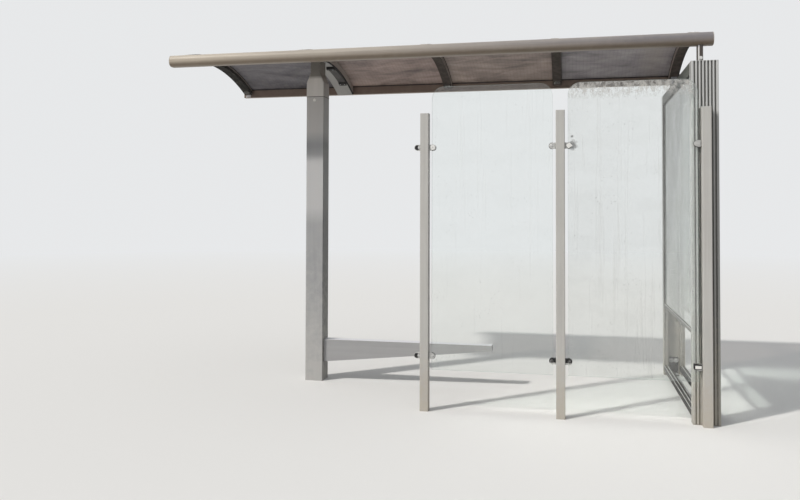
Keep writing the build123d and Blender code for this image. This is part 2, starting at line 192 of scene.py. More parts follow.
def mixShaders(share, under, over):
    return putAfter({0: share, 1: under.outputs[0], 2: over.outputs[0]}, "ShaderNodeMixShader")[0]


def makeLight():
    world = bpy.data.worlds.new("studio")
    world.use_nodes = True
    scene.world = world
    tree = world.node_tree
    tree.nodes.clear()
    sunWay = Vector(stage["sunFrom"]).normalized()
    nearSun = dot(put(tree, "ShaderNodeTexCoord").outputs["Generated"], tuple(sunWay))
    strength = remap(nearSun, *stage["skySpread"], *stage["skyLight"])
    soft = put(tree, "ShaderNodeBackground", {"Color": (*stage["skyColour"], 1), "Strength": strength})
    plain = put(tree, "ShaderNodeBackground", {"Color": (*stage["backdrop"], 1), "Strength": 1.0})
    put(tree, "ShaderNodeOutputWorld", {"Surface": mixShaders(seenRays(tree), soft, plain)})
    data = bpy.data.lights.new("keySun", "SUN")
    data.energy = stage["sunPower"]
    data.angle = math.radians(stage["sunAngle"])
    data.color = stage["sunColour"]
    sun = bpy.data.objects.new("keySun", data)
    sun.rotation_euler = sunWay.to_track_quat("Z", "Y").to_euler()
    scene.collection.objects.link(sun)


def newFinish(name):
    material = bpy.data.materials.new(name)
    material.use_nodes = True
    return material, material.node_tree, material.node_tree.nodes["Principled BSDF"]


def makeFloor():
    half = stage["floorSize"] / 2
    mesh = bpy.data.meshes.new("floor")
    corners = [(-half, -half, 0), (half, -half, 0), (half, half, 0), (-half, half, 0)]
    mesh.from_pydata(corners, [], [(0, 1, 2, 3)])
    floor = bpy.data.objects.new("floor", mesh)
    scene.collection.objects.link(floor)
    material, tree, pale = newFinish("paleFloor")
    fill(pale, {"Base Color": (*stage["floorColour"], 1), "Roughness": 0.95, "Specular IOR Level": 0.0})
    away = remap(length(put(tree, "ShaderNodeNewGeometry").outputs["Position"]), *stage["fade"])
    horizon = put(tree, "ShaderNodeEmission", {"Color": (*stage["backdrop"], 1), "Strength": 1.0})
    bounce = put(tree, "ShaderNodeBsdfDiffuse", {"Color": (*stage["floorBounce"], 1)})
    looks = put(tree, "ShaderNodeMixShader", {"Fac": away, 1: pale.outputs[0], 2: horizon.outputs[0]})
    fill(tree.nodes["Material Output"], {"Surface": mixShaders(seenRays(tree), bounce, looks)})
    mesh.materials.append(material)


scene.view_settings.view_transform = "Standard"
makeCamera()
makeLight()
makeFloor()
print("camera, light and floor are in place")


# Places on the shelter, read from the carried nodes
def box(name):
    low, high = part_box(name)
    return low, high, (low + high) / 2


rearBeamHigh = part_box("rear_roof_beam")[1]
frontBeamLow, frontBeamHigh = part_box("front_roof_beam")
postLow, postHigh, postMid = box("main_post")
arch = {"rise": 0.140, "sheetDrop": 0.015, "sheet": 0.008, "strip": 0.004, "rib": 0.047, "arm": 0.075,
        "clear": 0.008}
rearFace, frontFace = rearBeamHigh.y, frontBeamLow.y
rearZ, frontZ = rearBeamHigh.z - arch["sheetDrop"], frontBeamHigh.z - arch["sheetDrop"]
archSpan, archFall = frontFace - rearFace, frontZ - rearZ
archChord = math.hypot(archSpan, archFall)
archRadius = (archChord ** 2 / 4 + arch["rise"] ** 2) / (2 * arch["rise"])
archDrop = archRadius - arch["rise"]
archY = (rearFace + frontFace) / 2 + archDrop * archFall / archChord
archZ = (rearZ + frontZ) / 2 - archDrop * archSpan / archChord


# Noise: scale, detail, roughness and distortion, then the part that counts and what it's turned into
patterns = {
    "dustCloud": ((5.5, 6, 0.6), (0.32, 0.68, 0.35, 1.0)),
    "dustFilm": ((17.0, 5, 0.65), (0.45, 0.75, 0.0, 0.28)),
    "splashEdge": ((14.0, 6, 0.7), (0.3, 0.7, -0.4, 0.4)),
    "rubbedSpots": ((26.0, 6, 0.7), (0.38, 0.62)),
    "smearCloud": ((1.7, 5, 0.55, 0.6), (0.36, 0.66)),
    "runs": ((1.0, 4, 0.6, 0.25), (0.57, 0.74)),
    "speckGroups": ((7.0, 3, 0.5), (0.5, 0.62)),
    "paintPatches": ((3.2, 4), (0.35, 0.7, 0.0, 0.35)),
    "sheetCloud": ((2.8, 6, 0.62, 0.5), (0.36, 0.66)),
    "sheetPatches": ((1.1, 3, 0.5), (0.36, 0.64)),
    "blotches": ((36.0, 6, 0.7), (0.42, 0.60)),
    "rimPatches": ((9.0, 5, 0.6), (0.4, 0.65)),
}


def cloudy(place, name):
    grain, reach = patterns[name]
    return remap(noise(place, *grain), *reach)


# Node groups that several finishes share
socketKinds = {float: "NodeSocketFloat", int: "NodeSocketInt", tuple: "NodeSocketVector"}


def newTree(name, treeKind, inputs, outputs):
    # inputs and outputs give a socket's starting value, or its kind where it has none
    tree = bpy.data.node_groups.new(name, treeKind)
    for way, sockets in (("INPUT", inputs), ("OUTPUT", outputs)):
        for label, value in sockets.items():
            kind = value if isinstance(value, str) else socketKinds[type(value)]
            socket = tree.interface.new_socket(label, in_out=way, socket_type=kind)
            if kind != value:
                socket.default_value = value
    return tree, tree.nodes.new("NodeGroupInput").outputs, tree.nodes.new("NodeGroupOutput")


def newGroup(name, inputs, outputs):
    return newTree(name, "ShaderNodeTree", inputs, {label: "NodeSocketFloat" for label in outputs})


def useGroup(tree, group, values):
    return put(tree, "ShaderNodeGroup", values, node_tree=group).outputs


def makeDustGroup():
    # dust settles on what faces up, and the street splashes what stands near the paving
    tree, given, result = newGroup("streetDust", {"Amount": 0.5, "Splash Height": 0.35}, ["Dust", "Splash"])
    place = objectPlace(tree)
    facingUp = remap(axes(facingNormal(tree))["Z"], 0.25, 0.95)
    cloud = cloudy(place, "dustCloud")
    thin = cloudy(place, "dustFilm")
    share = maths("DIVIDE", alongAxis(tree, "Z"), given["Splash Height"])
    ragged = plus(share, cloudy(place, "splashEdge"))
    fill(result, {"Dust": times(plus(times(facingUp, cloud), thin), given["Amount"], True),
                  "Splash": remap(ragged, 0.05, 1.0, 1.0, 0.0)})
    return tree


def makeWearGroup():
    # edges rubbed pale, and corners darkened, partly by dirt and partly as painted shade
    tree, given, result = newGroup("edgeRub", {"Radius": 0.004, "Reach": 0.012}, ["Rub", "Crevice"])
    soft = put(tree, "ShaderNodeBevel", {"Radius": given["Radius"]}, samples=4).outputs[0]
    edge = remap(dot(facingNormal(tree), soft), 0.995, 0.86)
    broken = cloudy(objectPlace(tree), "rubbedSpots")
    hidden = put(tree, "ShaderNodeAmbientOcclusion", {"Distance": given["Reach"]}, samples=6).outputs["AO"]
    fill(result, {"Rub": times(edge, broken), "Crevice": remap(hidden, 0.85, 0.35)})
    return tree


def makeStreakGroup():
    # marks drawn out along one way, as rain runs or a die leaves them
    inputs = {"Stretch": (1.0, 30.0, 30.0), "Scale": 1.0}
    tree, given, result = newGroup("drawnStreaks", inputs, ["Broad", "Fine"])
    stretched = vectorMaths("MULTIPLY", objectPlace(tree), given["Stretch"])
    fill(result, {"Broad": remap(noise(stretched, given["Scale"], 5, 0.6), 0.35, 0.68),
                  "Fine": noise(stretched, times(given["Scale"], 5.0), 3, 0.7)})
    return tree


def makeSmearGroup():
    # films, runs and specks left on glass
    inputs = {"Offset": (0.0, 0.0, 0.0), "Wiped": 0.5}
    tree, given, result = newGroup("glassSmears", inputs, ["Veil", "Runs", "Specks"])
    moved = vectorMaths("ADD", objectPlace(tree), given["Offset"])
    cloud = cloudy(moved, "smearCloud")
    arcs = putAfter({"Vector": moved, "Scale": 1.3, "Distortion": 7.0, "Detail": 4.0, "Detail Scale": 1.6,
                     "Detail Roughness": 0.65}, "ShaderNodeTexWave", wave_type="RINGS")["Fac"]
    wiped = times(remap(arcs, 0.45, 0.95), given["Wiped"])
    drawn = vectorMaths("MULTIPLY", moved, (26, 26, 1.1))
    spots = putAfter({"Vector": moved, "Scale": 46.0, "Randomness": 1.0}, "ShaderNodeTexVoronoi")["Distance"]
    some = cloudy(moved, "speckGroups")
    fill(result, {"Veil": times(plus(cloud, wiped), 0.6, True),
                  "Runs": cloudy(drawn, "runs"),
                  "Specks": times(remap(spots, 0.16, 0.07), some)})
    return tree


dustGroup = makeDustGroup()
wearGroup = makeWearGroup()
streakGroup = makeStreakGroup()
smearGroup = makeSmearGroup()


# Masks for marks that a few finishes carry, placed by the nodes themselves
def above(value, limit):
    return maths("GREATER_THAN", value, limit)


def below(value, limit):
    return maths("LESS_THAN", value, limit)


def within(tree, axis, low, high):
    place = alongAxis(tree, axis)
    return times(above(place, low), below(place, high))


def facingWay(tree, way, low=0.5, high=0.9, most=1.0):
    return remap(dot(facingNormal(tree), way), low, high, 0.0, most)


beyond = 9.0                              # farther out than any part of the shelter


# These three give masks for a finish's list of marks
def facing(way, low=0.5, high=0.9, inside=None):
    def mask(tree):
        share = facingWay(tree, way, low, high)
        return times(share, within(tree, "X", *inside)) if inside else share
    return mask


def between(axis, low=-beyond, high=beyond):
    return lambda tree: within(tree, axis, low, high)


def both(first, second):
    return lambda tree: times(first(tree), second(tree))


def nearSpot(tree, centre, reach, ragged=0.0, full=0.45):
    # 1 in the middle of a spot on an upright face, 0 at its reach along X and Z
    place = vectorMaths("SUBTRACT", objectPlace(tree), tuple(centre))
    away = length(vectorMaths("MULTIPLY", place, (1 / reach[0], 0, 1 / reach[1])))
    if ragged:
        away = plus(away, remap(noise(objectPlace(tree), 60.0, 5, 0.65), 0.3, 0.7, -ragged, ragged))
    return remap(away, full, 1.0, 1.0, 0.0)


flutes = {
    "count": 8,
    "depth": 0.010,
    "dark": (0.30, 0.20),                 # shares of the pitch, from a groove's middle
    "plain": 0.4,                         # share of the pitch without a groove, at either side
}


def fluteGrooves(tree):
    # painted shade in the grooves of the uprights' outer faces
    low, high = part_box("rear_upright")[0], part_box("front_upright")[1]
    pitch = (high.x - low.x) / flutes["count"]
    turns = maths("DIVIDE", minus(alongAxis(tree, "X"), low.x), pitch)
    away = minus(0.5, maths("ABSOLUTE", minus(maths("FRACT", turns), 0.5)))
    aside = maths("ABSOLUTE", minus(alongAxis(tree, "Y"), (low.y + high.y) / 2))
    outer = above(aside, (high.y - low.y) / 2 - flutes["depth"])
    plain = flutes["plain"] * pitch
    grooved = within(tree, "X", low.x + plain, high.x - plain)
    return times(times(remap(away, *flutes["dark"]), outer), grooved)


def spigotGleam(tree):
    # painted highlight: one bright band down the round tubes
    across = axes(facingNormal(tree))["X"]
    return times(remap(across, -0.74, -0.62), remap(across, -0.18, -0.30))


postMarks = {
    "neck": 0.140,
    "neckFade": 0.030,
    "topPale": (2.09, 2.20),
    "middlePale": ((1.38, 1.52), (2.06, 1.94)),
    "paintedLightShare": (0.45, 0.15),               # how much of the painted light the side towards the cabinet keeps, above and below
}


def neckShade(tree):
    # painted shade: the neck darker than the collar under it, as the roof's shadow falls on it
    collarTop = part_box("post_head")[1].z - postMarks["neck"]
    return remap(alongAxis(tree, "Z"), collarTop - postMarks["neckFade"], collarTop)


# how much of the painted light a face keeps; the side towards the cabinet keeps the least
def paintedLightShare(tree, least):
    return remap(facingWay(tree, (1, 0, 0)), 0.0, 1.0, 1.0, least)


# painted light: the post's top paler, where sunlight came through the roof sheets
def paintedLightTop(tree):
    return times(paintedLightShare(tree, postMarks["paintedLightShare"][0]), remap(alongAxis(tree, "Z"), *postMarks["topPale"]))


# painted light: a paler band below the roof beam's shadow, where the sun falls on the post
def paintedLightMiddle(tree):
    height = alongAxis(tree, "Z")
    rising, falling = [remap(height, *reach) for reach in postMarks["middlePale"]]
    return times(times(paintedLightShare(tree, postMarks["paintedLightShare"][1]), rising), falling)


def archOffset(tree):
    # how far outside the sheets' underside a place lies
    y, z = minus(alongAxis(tree, "Y"), archY), minus(alongAxis(tree, "Z"), archZ)
    square = plus(maths("POWER", y, 2), maths("POWER", z, 2))
    return minus(maths("SQRT", square), archRadius)


ribBand = {"until": -2.0, "top": -0.021, "line": 0.003}


# painted shade on the lower part of the left end rib
def leftRibLower(tree):
    return times(below(alongAxis(tree, "X"), ribBand["until"]), below(archOffset(tree), ribBand["top"]))


def leftRibLine(tree):
    away = maths("ABSOLUTE", minus(archOffset(tree), ribBand["top"]))
    return times(below(alongAxis(tree, "X"), ribBand["until"]), below(away, ribBand["line"]))


lastPostShadowReach = {"depth": 0.030, "fade": (0.02, 0.05)}    # from the corner, from the post's top


def lastPostShadow(tree):
    # painted shadow: the last glass post's shadow on the flutes between it and the corner
    post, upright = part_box("glass_post_3"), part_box("rear_upright")
    right = above(alongAxis(tree, "X"), post[1].x)
    outer = below(alongAxis(tree, "Y"), upright[0].y + lastPostShadowReach["depth"])
    fade = [post[1].z - drop for drop in lastPostShadowReach["fade"]]
    return times(times(right, outer), remap(alongAxis(tree, "Z"), *fade))


def innerWeb(tree):
    # painted shade on the uprights' faces that look into the cabinet
    outwards = times(axes(facingNormal(tree))["Y"], maths("SIGN", alongAxis(tree, "Y")))
    return remap(outwards, -0.5, -0.9)


padRing = {"nose": 0.022, "reach": (0.0205, 0.0205), "ragged": 0.08, "full": 0.86}


def firstClampPads(tree):
    # worn black pads round the noses of the first post's open clamps
    low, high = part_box("pane_clamps_1")
    nose = padRing["nose"]
    spots = [nearSpot(tree, (low.x + nose, 0, z), padRing["reach"], padRing["ragged"], padRing["full"])
             for z in (low.z + nose, high.z - nose)]
    return times(maths("MAXIMUM", *spots), below(alongAxis(tree, "X"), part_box("glass_post_1")[0].x))


markEdges = {
    "sheetEnd": 0.020,                    # inside the sheets' ends
    "farLeg": 0.012,                      # before the far beam's face
    "leftLeg": 0.008,
    "besideRib": 0.010,
    "bareLip": 0.013,                     # the low clamps' pads slipped up and bared the lower edge
    "clampLevels": 1.0,                   # between the low clamps and the high ones
}
sheetEnds = (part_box("roof_sheet_1")[0].x + markEdges["sheetEnd"],
             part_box("roof_sheet_4")[1].x - markEdges["sheetEnd"])
# painted shade: the bracket legs before the far beam take its shaded brown
shadedFarBracketLegs = between("Y", frontFace - markEdges["farLeg"])
rightBracket = between("X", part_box("right_end_rib")[0].x - markEdges["besideRib"])
leftBrackets = between("X", high=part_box("left_end_rib")[1].x + markEdges["besideRib"])
# painted sunlight on the left bracket's leg
sunlitLeftBracketLeg = both(leftBrackets, between("Y", frontFace - markEdges["leftLeg"]))
lowClamps = between("Z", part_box("pane_clamps_2")[0].z + markEdges["bareLip"], markEdges["clampLevels"])


dirt = {
    "dust": (0.50, 0.455, 0.395),
    "splash": (0.46, 0.415, 0.35),
    "creviceDirtAndShade": (0.040, 0.036, 0.032),
}


# Paints and metals, with the marks that lie on them from the lowest to the uppermost
def coat(colour, shade, worn, roughness, stretch, streaks, dust, marks=(), **more):
    # stretch draws the streaks out along the piece, worn is the colour of rubbed edges
    setting = dict(metallic=0.0, specular=0.5, rub=0.003, reach=0.014, corner=0.55, splash=0.0,
                   splashHeight=0.35, splashColour=dirt["splash"])
    setting.update(colour=colour, shade=shade, worn=worn, roughness=roughness, stretch=stretch)
    setting.update(streaks=streaks, dust=dust, marks=marks, **more)
    return setting


finishes = {
    "mainPostPaint": coat(
        (0.35, 0.353, 0.361), (0.28, 0.285, 0.295), (0.56, 0.565, 0.57),
        # paler towards the foot, partly street splash and partly painted light thrown up from the paving
        0.5, (34, 34, 1.4), 0.45, 0.35, specular=0.4, splash=0.62, splashHeight=1.1,
        splashColour=(0.52, 0.51, 0.49),
        # painted shade on the side towards the cabinet, painted light at the top and in a band below the roof
        # beam's shadow
        marks=[(facing((1, 0, 0)), (0.115, 0.115, 0.112), 0.92),
               (paintedLightTop, (0.5, 0.495, 0.485), 0.75),
               (paintedLightMiddle, (0.52, 0.52, 0.525), 0.7)]),
    # paler than the post, partly a paler paint and partly painted light under the roof; painted shade on the
    # side towards the cabinet
    "postHeadPaint": coat(
        (0.61, 0.6, 0.58), (0.52, 0.51, 0.49), (0.7, 0.69, 0.67),
        0.5, (34, 34, 1.4), 0.45, 0.2, specular=0.4,
        marks=[(facing((1, 0, 0)), (0.235, 0.22, 0.21), 0.9),
               (neckShade, (0.165, 0.155, 0.14), 0.94)]),
    "seatBeamPaint": coat(
        (0.38, 0.38, 0.385), (0.31, 0.31, 0.32), (0.62, 0.63, 0.65),
        0.45, (1.4, 34, 34), 0.45, 0.1, specular=0.4,
        # painted light: the top face near white where light falls on it
        marks=[(facing((0, 0, 1)), (0.82, 0.83, 0.88), 0.9)]),
    "armPaint": coat(
        (0.38, 0.38, 0.37), (0.3, 0.295, 0.29), (0.48, 0.48, 0.47),
        0.6, (10, 1.6, 10), 0.6, 0.3, specular=0.25,
        # painted light: the side towards the cabinet pale like the lit sheets, though it lies in deep shade
        marks=[(facing((1, 0, 0), 0.6, 0.95), (0.33, 0.29, 0.27), 0.9)]),
    "nearBeamPaint": coat(
        (0.53, 0.47, 0.39), (0.445, 0.385, 0.315), (0.64, 0.59, 0.52),
        # painted light along the beam: bright at the left end, grey at the right
        0.42, (1.2, 34, 34), 0.55, 0.3, specular=0.4, lengthways=(-2.0, 1.7, (0.19, 0.18, 0.19)),
        # painted shade on the underside
        marks=[(facing((0, 0, -1), -0.15, 0.65), (0.2, 0.155, 0.11), 0.85)]),
    # a darker copy of the beam paint, its inner face darker still: painted shade under the roof
    "farBeamPaint": coat(
        (0.46, 0.4, 0.33), (0.38, 0.32, 0.26), (0.58, 0.52, 0.45),
        0.5, (1.2, 34, 34), 0.55, 0.3, specular=0.3,
        marks=[(facing((0, -0.9, -0.436), 0.25, 0.7), (0.16, 0.118, 0.1), 0.92)]),
    "ribPaint": coat(
        (0.08, 0.068, 0.062), (0.054, 0.046, 0.042), (0.14, 0.13, 0.12),
        0.75, (36, 1.6, 8), 0.5, 0.35, specular=0.05,
        # painted light: the rib flanks pale like the lit sheets beside them, though they lie in shade
        marks=[(facing((-1, 0, 0), 0.6, 0.95, sheetEnds), (0.3, 0.265, 0.25), 0.85),
               (facing((1, 0, 0), 0.6, 0.95, sheetEnds), (0.3, 0.265, 0.25), 0.85),
               (leftRibLower, (0.034, 0.034, 0.032), 0.92),
               (leftRibLine, (0.02, 0.018, 0.018), 0.9)]),
    "stripPaint": coat(
        (0.45, 0.415, 0.37), (0.36, 0.33, 0.29), (0.58, 0.55, 0.51),
        0.5, (36, 1.6, 8), 0.5, 0.5, specular=0.4),
    "glassPostPaint": coat(
        (0.51, 0.505, 0.485), (0.42, 0.41, 0.395), (0.64, 0.63, 0.61),
        0.42, (60, 60, 1.6), 0.5, 0.3, specular=0.45, splash=0.7, splashHeight=0.5,
        # painted shade on the side towards the cabinet
        marks=[(facing((1, 0, 0)), (0.3, 0.295, 0.28), 0.75)]),
    "flutedAluminium": coat(
        (0.58, 0.585, 0.575), (0.46, 0.465, 0.46), (0.78, 0.78, 0.77),
        0.38, (90, 90, 1.1), 0.5, 0.25, metallic=0.35, splash=0.65, splashHeight=0.9,
        # strong corner darkening, mostly painted shade in the grooves
        splashColour=(0.42, 0.39, 0.33), corner=0.97, reach=0.016,
        marks=[(fluteGrooves, (0.155, 0.155, 0.147), 0.9),
               (lastPostShadow, (0.2, 0.2, 0.19), 0.7),
               (innerWeb, (0.2, 0.2, 0.195), 0.85)]),
    "bottomRailPaint": coat(
        (0.06, 0.058, 0.056), (0.04, 0.038, 0.037), (0.6, 0.59, 0.58),
        0.4, (30, 1.4, 30), 0.5, 0.05, specular=0.03, rub=0.004, corner=0.9),
    "footPaint": coat(
        (0.09, 0.088, 0.085), (0.05, 0.048, 0.046), (0.72, 0.71, 0.7),
        0.35, (20, 20, 20), 0.6, 0.05, metallic=0.5, rub=0.007),
    "middleRailPaint": coat(
        (0.21, 0.21, 0.2), (0.15, 0.15, 0.143), (0.7, 0.7, 0.69),
        0.5, (30, 1.4, 30), 0.4, 0.15, specular=0.1),
    "wornHighlightEdge": coat(
        (0.8, 0.8, 0.79), (0.62, 0.62, 0.61), (0.86, 0.86, 0.85),
        0.3, (30, 5, 30), 0.6, 0.05, metallic=0.2),
    "topRailPaint": coat(
        (0.115, 0.125, 0.11), (0.078, 0.085, 0.075), (0.28, 0.29, 0.27),
        0.5, (30, 1.4, 30), 0.5, 0.4, specular=0.3),
    "clampSteel": coat(
        (0.56, 0.56, 0.545), (0.44, 0.44, 0.43), (0.78, 0.78, 0.77),
        0.33, (8, 90, 90), 0.4, 0.3, metallic=0.4, corner=0.9),
    "spigotSteel": coat(
        (0.11, 0.095, 0.085), (0.06, 0.052, 0.046), (0.5, 0.49, 0.48),
        0.35, (50, 50, 1.5), 0.5, 0.15, metallic=0.6,
        marks=[(spigotGleam, (0.66, 0.65, 0.64), 0.9)]),
    "boltSteel": coat(
        (0.66, 0.66, 0.65), (0.5, 0.49, 0.48), (0.82, 0.82, 0.81),
        0.26, (60, 60, 60), 0.3, 0.15, metallic=0.7),
    "setScrewSteel": coat(
        (0.78, 0.78, 0.77), (0.62, 0.62, 0.61), (0.86, 0.86, 0.85),
        0.3, (60, 60, 60), 0.3, 0.05, metallic=0.3),
    "bracketPaint": coat(
        (0.062, 0.053, 0.047), (0.045, 0.038, 0.034), (0.2, 0.19, 0.18),
        0.5, (12, 12, 12), 0.3, 0.1,
        marks=[(shadedFarBracketLegs, (0.165, 0.125, 0.105), 0.9),
               (rightBracket, (0.29, 0.29, 0.33), 0.95),
               (sunlitLeftBracketLeg, (0.62, 0.6, 0.62), 0.95)]),
    "lampPaint": coat(
        (0.065, 0.062, 0.062), (0.045, 0.043, 0.043), (0.18, 0.17, 0.17),
        0.6, (60, 2.0, 60), 0.4, 0.3, specular=0.2),
    "blackRubber": coat(
        (0.02, 0.02, 0.021), (0.012, 0.012, 0.013), (0.05, 0.05, 0.05),
        0.72, (20, 20, 20), 0.4, 0.12, specular=0.3),
    "shadowGapRubber": coat(
        (0.085, 0.084, 0.078), (0.06, 0.059, 0.055), (0.12, 0.12, 0.11),
        0.72, (20, 20, 2), 0.4, 0.12, specular=0.3),
    "whiteCap": coat(
        (0.84, 0.83, 0.8), (0.74, 0.73, 0.7), (0.88, 0.88, 0.87),
        0.35, (40, 40, 40), 0.3, 0.1),
    "palePlate": coat(
        (0.82, 0.815, 0.79), (0.7, 0.695, 0.68), (0.86, 0.86, 0.85),
        0.35, (40, 40, 40), 0.3, 0.1, metallic=0.2),
}
# the caps carry the same painted light: bright at the left end, grey at the right
finishes["beamCapPaint"] = dict(
    finishes["nearBeamPaint"], colour=(0.38, 0.345, 0.3), shade=(0.32, 0.29, 0.255),
    lengthways=(-2.0, 1.7, (0.4, 0.375, 0.36)))
finishes["firstClampSteel"] = dict(finishes["clampSteel"], rubber=firstClampPads)
finishes["secondClampSteel"] = dict(finishes["clampSteel"], rubber=lowClamps)


surface = {
    "greyEdge": 0.35,                     # metres by which streaks shift the greyed end
    "grain": (-0.07, 0.09),               # roughness that fine streaks add
    "dustRough": 0.35,
    "splashRough": 0.3,
    "bump": {"Strength": 0.10, "Distance": 0.0006},
}


def plainFinish(name):
    setting = finishes[name]
    material, tree, shader = newFinish(name)
    streaks = useGroup(tree, streakGroup, {"Stretch": setting["stretch"]})
    wear = useGroup(tree, wearGroup, {"Radius": setting["rub"], "Reach": setting["reach"]})
    dust = useGroup(tree, dustGroup, {"Amount": setting["dust"], "Splash Height": setting["splashHeight"]})
    patch = cloudy(objectPlace(tree), "paintPatches")
    shaded = plus(times(streaks["Broad"], setting["streaks"]), patch, True)
    colour = blendColour(shaded, setting["colour"], setting["shade"])
    if "lengthways" in setting:           # painted light: bright at one end, greying towards the other
        start, end, grey = setting["lengthways"]
        shift = remap(streaks["Broad"], 0, 1, -surface["greyEdge"], surface["greyEdge"])
        ragged = plus(alongAxis(tree, "X"), shift)
        colour = blendColour(remap(ragged, start, end), colour, grey)
    for mask, tone, share in setting["marks"]:
        colour = blendColour(times(mask(tree), share), colour, tone)
    splash = times(dust["Splash"], setting["splash"])
    # corners darken with dirt and painted shade together
    layers = [(wear["Rub"], setting["worn"]), (times(wear["Crevice"], setting["corner"]), dirt["creviceDirtAndShade"]),
              (dust["Dust"], dirt["dust"]), (splash, setting["splashColour"])]
    for share, tone in layers:
        colour = blendColour(share, colour, tone)
    if "rubber" in setting:               # some of the clamps are bare black pads
        colour = blendColour(setting["rubber"](tree), colour, finishes["blackRubber"]["colour"])
    rough = plus(remap(streaks["Fine"], 0.3, 0.7, *surface["grain"]), setting["roughness"])
    rough = plus(rough, times(dust["Dust"], surface["dustRough"]))
    rough = plus(rough, times(splash, surface["splashRough"]), True)
    bump = putAfter({**surface["bump"], "Height": streaks["Fine"]}, "ShaderNodeBump")[0]
    fill(shader, {"Base Color": colour, "Roughness": rough, "Metallic": setting["metallic"],
                  "Specular IOR Level": setting["specular"], "Normal": bump})
    return material


made = {name: plainFinish(name) for name in finishes}

# Smoky roof sheets with cloudy streaks along the shelter and fine walls across
sheet = {
    "colour": (0.215, 0.188, 0.178),
    "shade": (0.092, 0.082, 0.084),
    "pale": (0.40, 0.355, 0.33),
    "armDarkPatch": (0.035, 0.034, 0.024),    # darker patch beside the arm, near the rear beam
    "darkPatchReach": ((0.085, 0.065), (-0.30, -0.50)),
    "cell": 0.032,                        # metres between the walls inside
    "solid": (0.82, 0.96),                # how much a sheet hides, thin to thick dirt
    "lets": (0.36, 0.33, 0.31),           # the sun's light that comes through
    "upperTone": (0.92, 0.90, 0.90),      # the upper side, against the undersides' tones in bays
    "settled": (0.27, 0.25, 0.235),       # dirt that evens the upper side out
    "settledShare": 0.5,
    "streaks": (0.45, 0.55),              # shares of drawn streaks and of broad patches
    "cloudShare": 0.75,
    "wallShare": 0.15,
    "darkPatchShare": 0.85,
    "grain": (0.36, 0.60),                # roughness, from the fine streaks
    "dustRough": 0.4,
    "bump": {"Strength": 0.3, "Distance": 0.0008},
}
# tones of the sheets' undersides: partly each bay's own colour, partly painted light coming through the sheet
bays = {
    "darkSmokySheet": dict(tone=(0.61, 0.655, 0.77), darkPatch=True),   # darker, at the free end, with a darker patch beside the arm
    "smokySheet": dict(tone=(1.41, 1.22, 1.17)),
    "warmSmokySheet": dict(tone=(1.50, 1.35, 1.27)),
    "greySmokySheet": dict(tone=(1.32, 1.38, 1.56), paintedSheen=((1.87, 0.35), (0.16, 0.75))),
}


def throughLight(tree, shader, colour):
    # lamps pass through, tinted
    clear = put(tree, "ShaderNodeBsdfTransparent", {"Color": (*colour, 1)})
    shadowRay = put(tree, "ShaderNodeLightPath").outputs["Is Shadow Ray"]
    fill(tree.nodes["Material Output"], {"Surface": mixShaders(shadowRay, shader, clear)})


def sheetFinish(name):
    bay = bays[name]
    material, tree, shader = newFinish(name)
    drawn = useGroup(tree, streakGroup, {"Stretch": (1.3, 11.0, 11.0), "Scale": 1.4})
    cloud = cloudy(scaledPlace(tree, (1.0, 2.6, 1.0)), "sheetCloud")
    dust = useGroup(tree, dustGroup, {"Amount": 0.6})["Dust"]
    walls = {"Vector": objectPlace(tree), "Distortion": 0.0, "Scale": 2 * math.pi / (20 * sheet["cell"])}
    lines = putAfter(walls, "ShaderNodeTexWave", bands_direction="X")["Fac"]
    patches = cloudy(scaledPlace(tree, (1.0, 1.7, 1.0)), "sheetPatches")
    streaky = plus(times(drawn["Broad"], sheet["streaks"][0]), times(patches, sheet["streaks"][1]))
    colour = blendColour(streaky, sheet["colour"], sheet["shade"])
    colour = blendColour(times(cloud, sheet["cloudShare"]), colour, sheet["pale"])
    colour = blendColour(remap(lines, 0.7, 1.0, 0.0, sheet["wallShare"]), colour, sheet["shade"])
    # the underside takes its bay's tone, partly painted light
    under = blendColour(facingWay(tree, (0, 0, -1), 0.0, 0.5), sheet["upperTone"], bay["tone"])
    colour = vectorMaths("MULTIPLY", colour, under)
    if "paintedSheen" in bay:                 # painted sheen: a paler patch towards the far beam
        (x, y), (reachX, reachY) = bay["paintedSheen"]
        place = scaledPlace(tree, (1 / reachX, 1 / reachY, 0), (-x / reachX, -y / reachY, 0))
        near = times(remap(length(place), 0.2, 1.0, 0.75, 0.0), remap(cloud, 0.0, 1.0, 0.6, 1.0))
        colour = blendColour(near, colour, sheet["pale"])
    if "darkPatch" in bay:
        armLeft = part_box("roof_arm")[0].x
        across, along = sheet["darkPatchReach"]
        beside = remap(alongAxis(tree, "X"), armLeft - across[0], armLeft - across[1])
        darkPatch = times(beside, remap(alongAxis(tree, "Y"), *along))
        colour = blendColour(times(darkPatch, sheet["darkPatchShare"]), colour, sheet["armDarkPatch"])
    upper = facingWay(tree, (0, 0, 1), 0.3, 0.8, sheet["settledShare"])
    colour = blendColour(upper, colour, sheet["settled"])
    colour = blendColour(dust, colour, dirt["dust"])
    rough = plus(remap(drawn["Fine"], 0.3, 0.7, *sheet["grain"]), times(dust, sheet["dustRough"]), True)
    cover = times(plus(drawn["Broad"], dust), 0.6, True)
    bump = putAfter({**sheet["bump"], "Height": lines}, "ShaderNodeBump")[0]
    fill(shader, {"Base Color": colour, "Roughness": rough, "Specular IOR Level": 0.15, "Normal": bump,
                  "Alpha": remap(cover, 0.0, 1.0, *sheet["solid"])})
    throughLight(tree, shader, sheet["lets"])
    return material


# Clear sheet glass, greasy in places; lamps pass through it
glass = {
    "tint": (0.955, 0.98, 0.97),
    "greasy": (0.85, 0.88, 0.865),
    "shadow": (0.88, 0.91, 0.90),
}


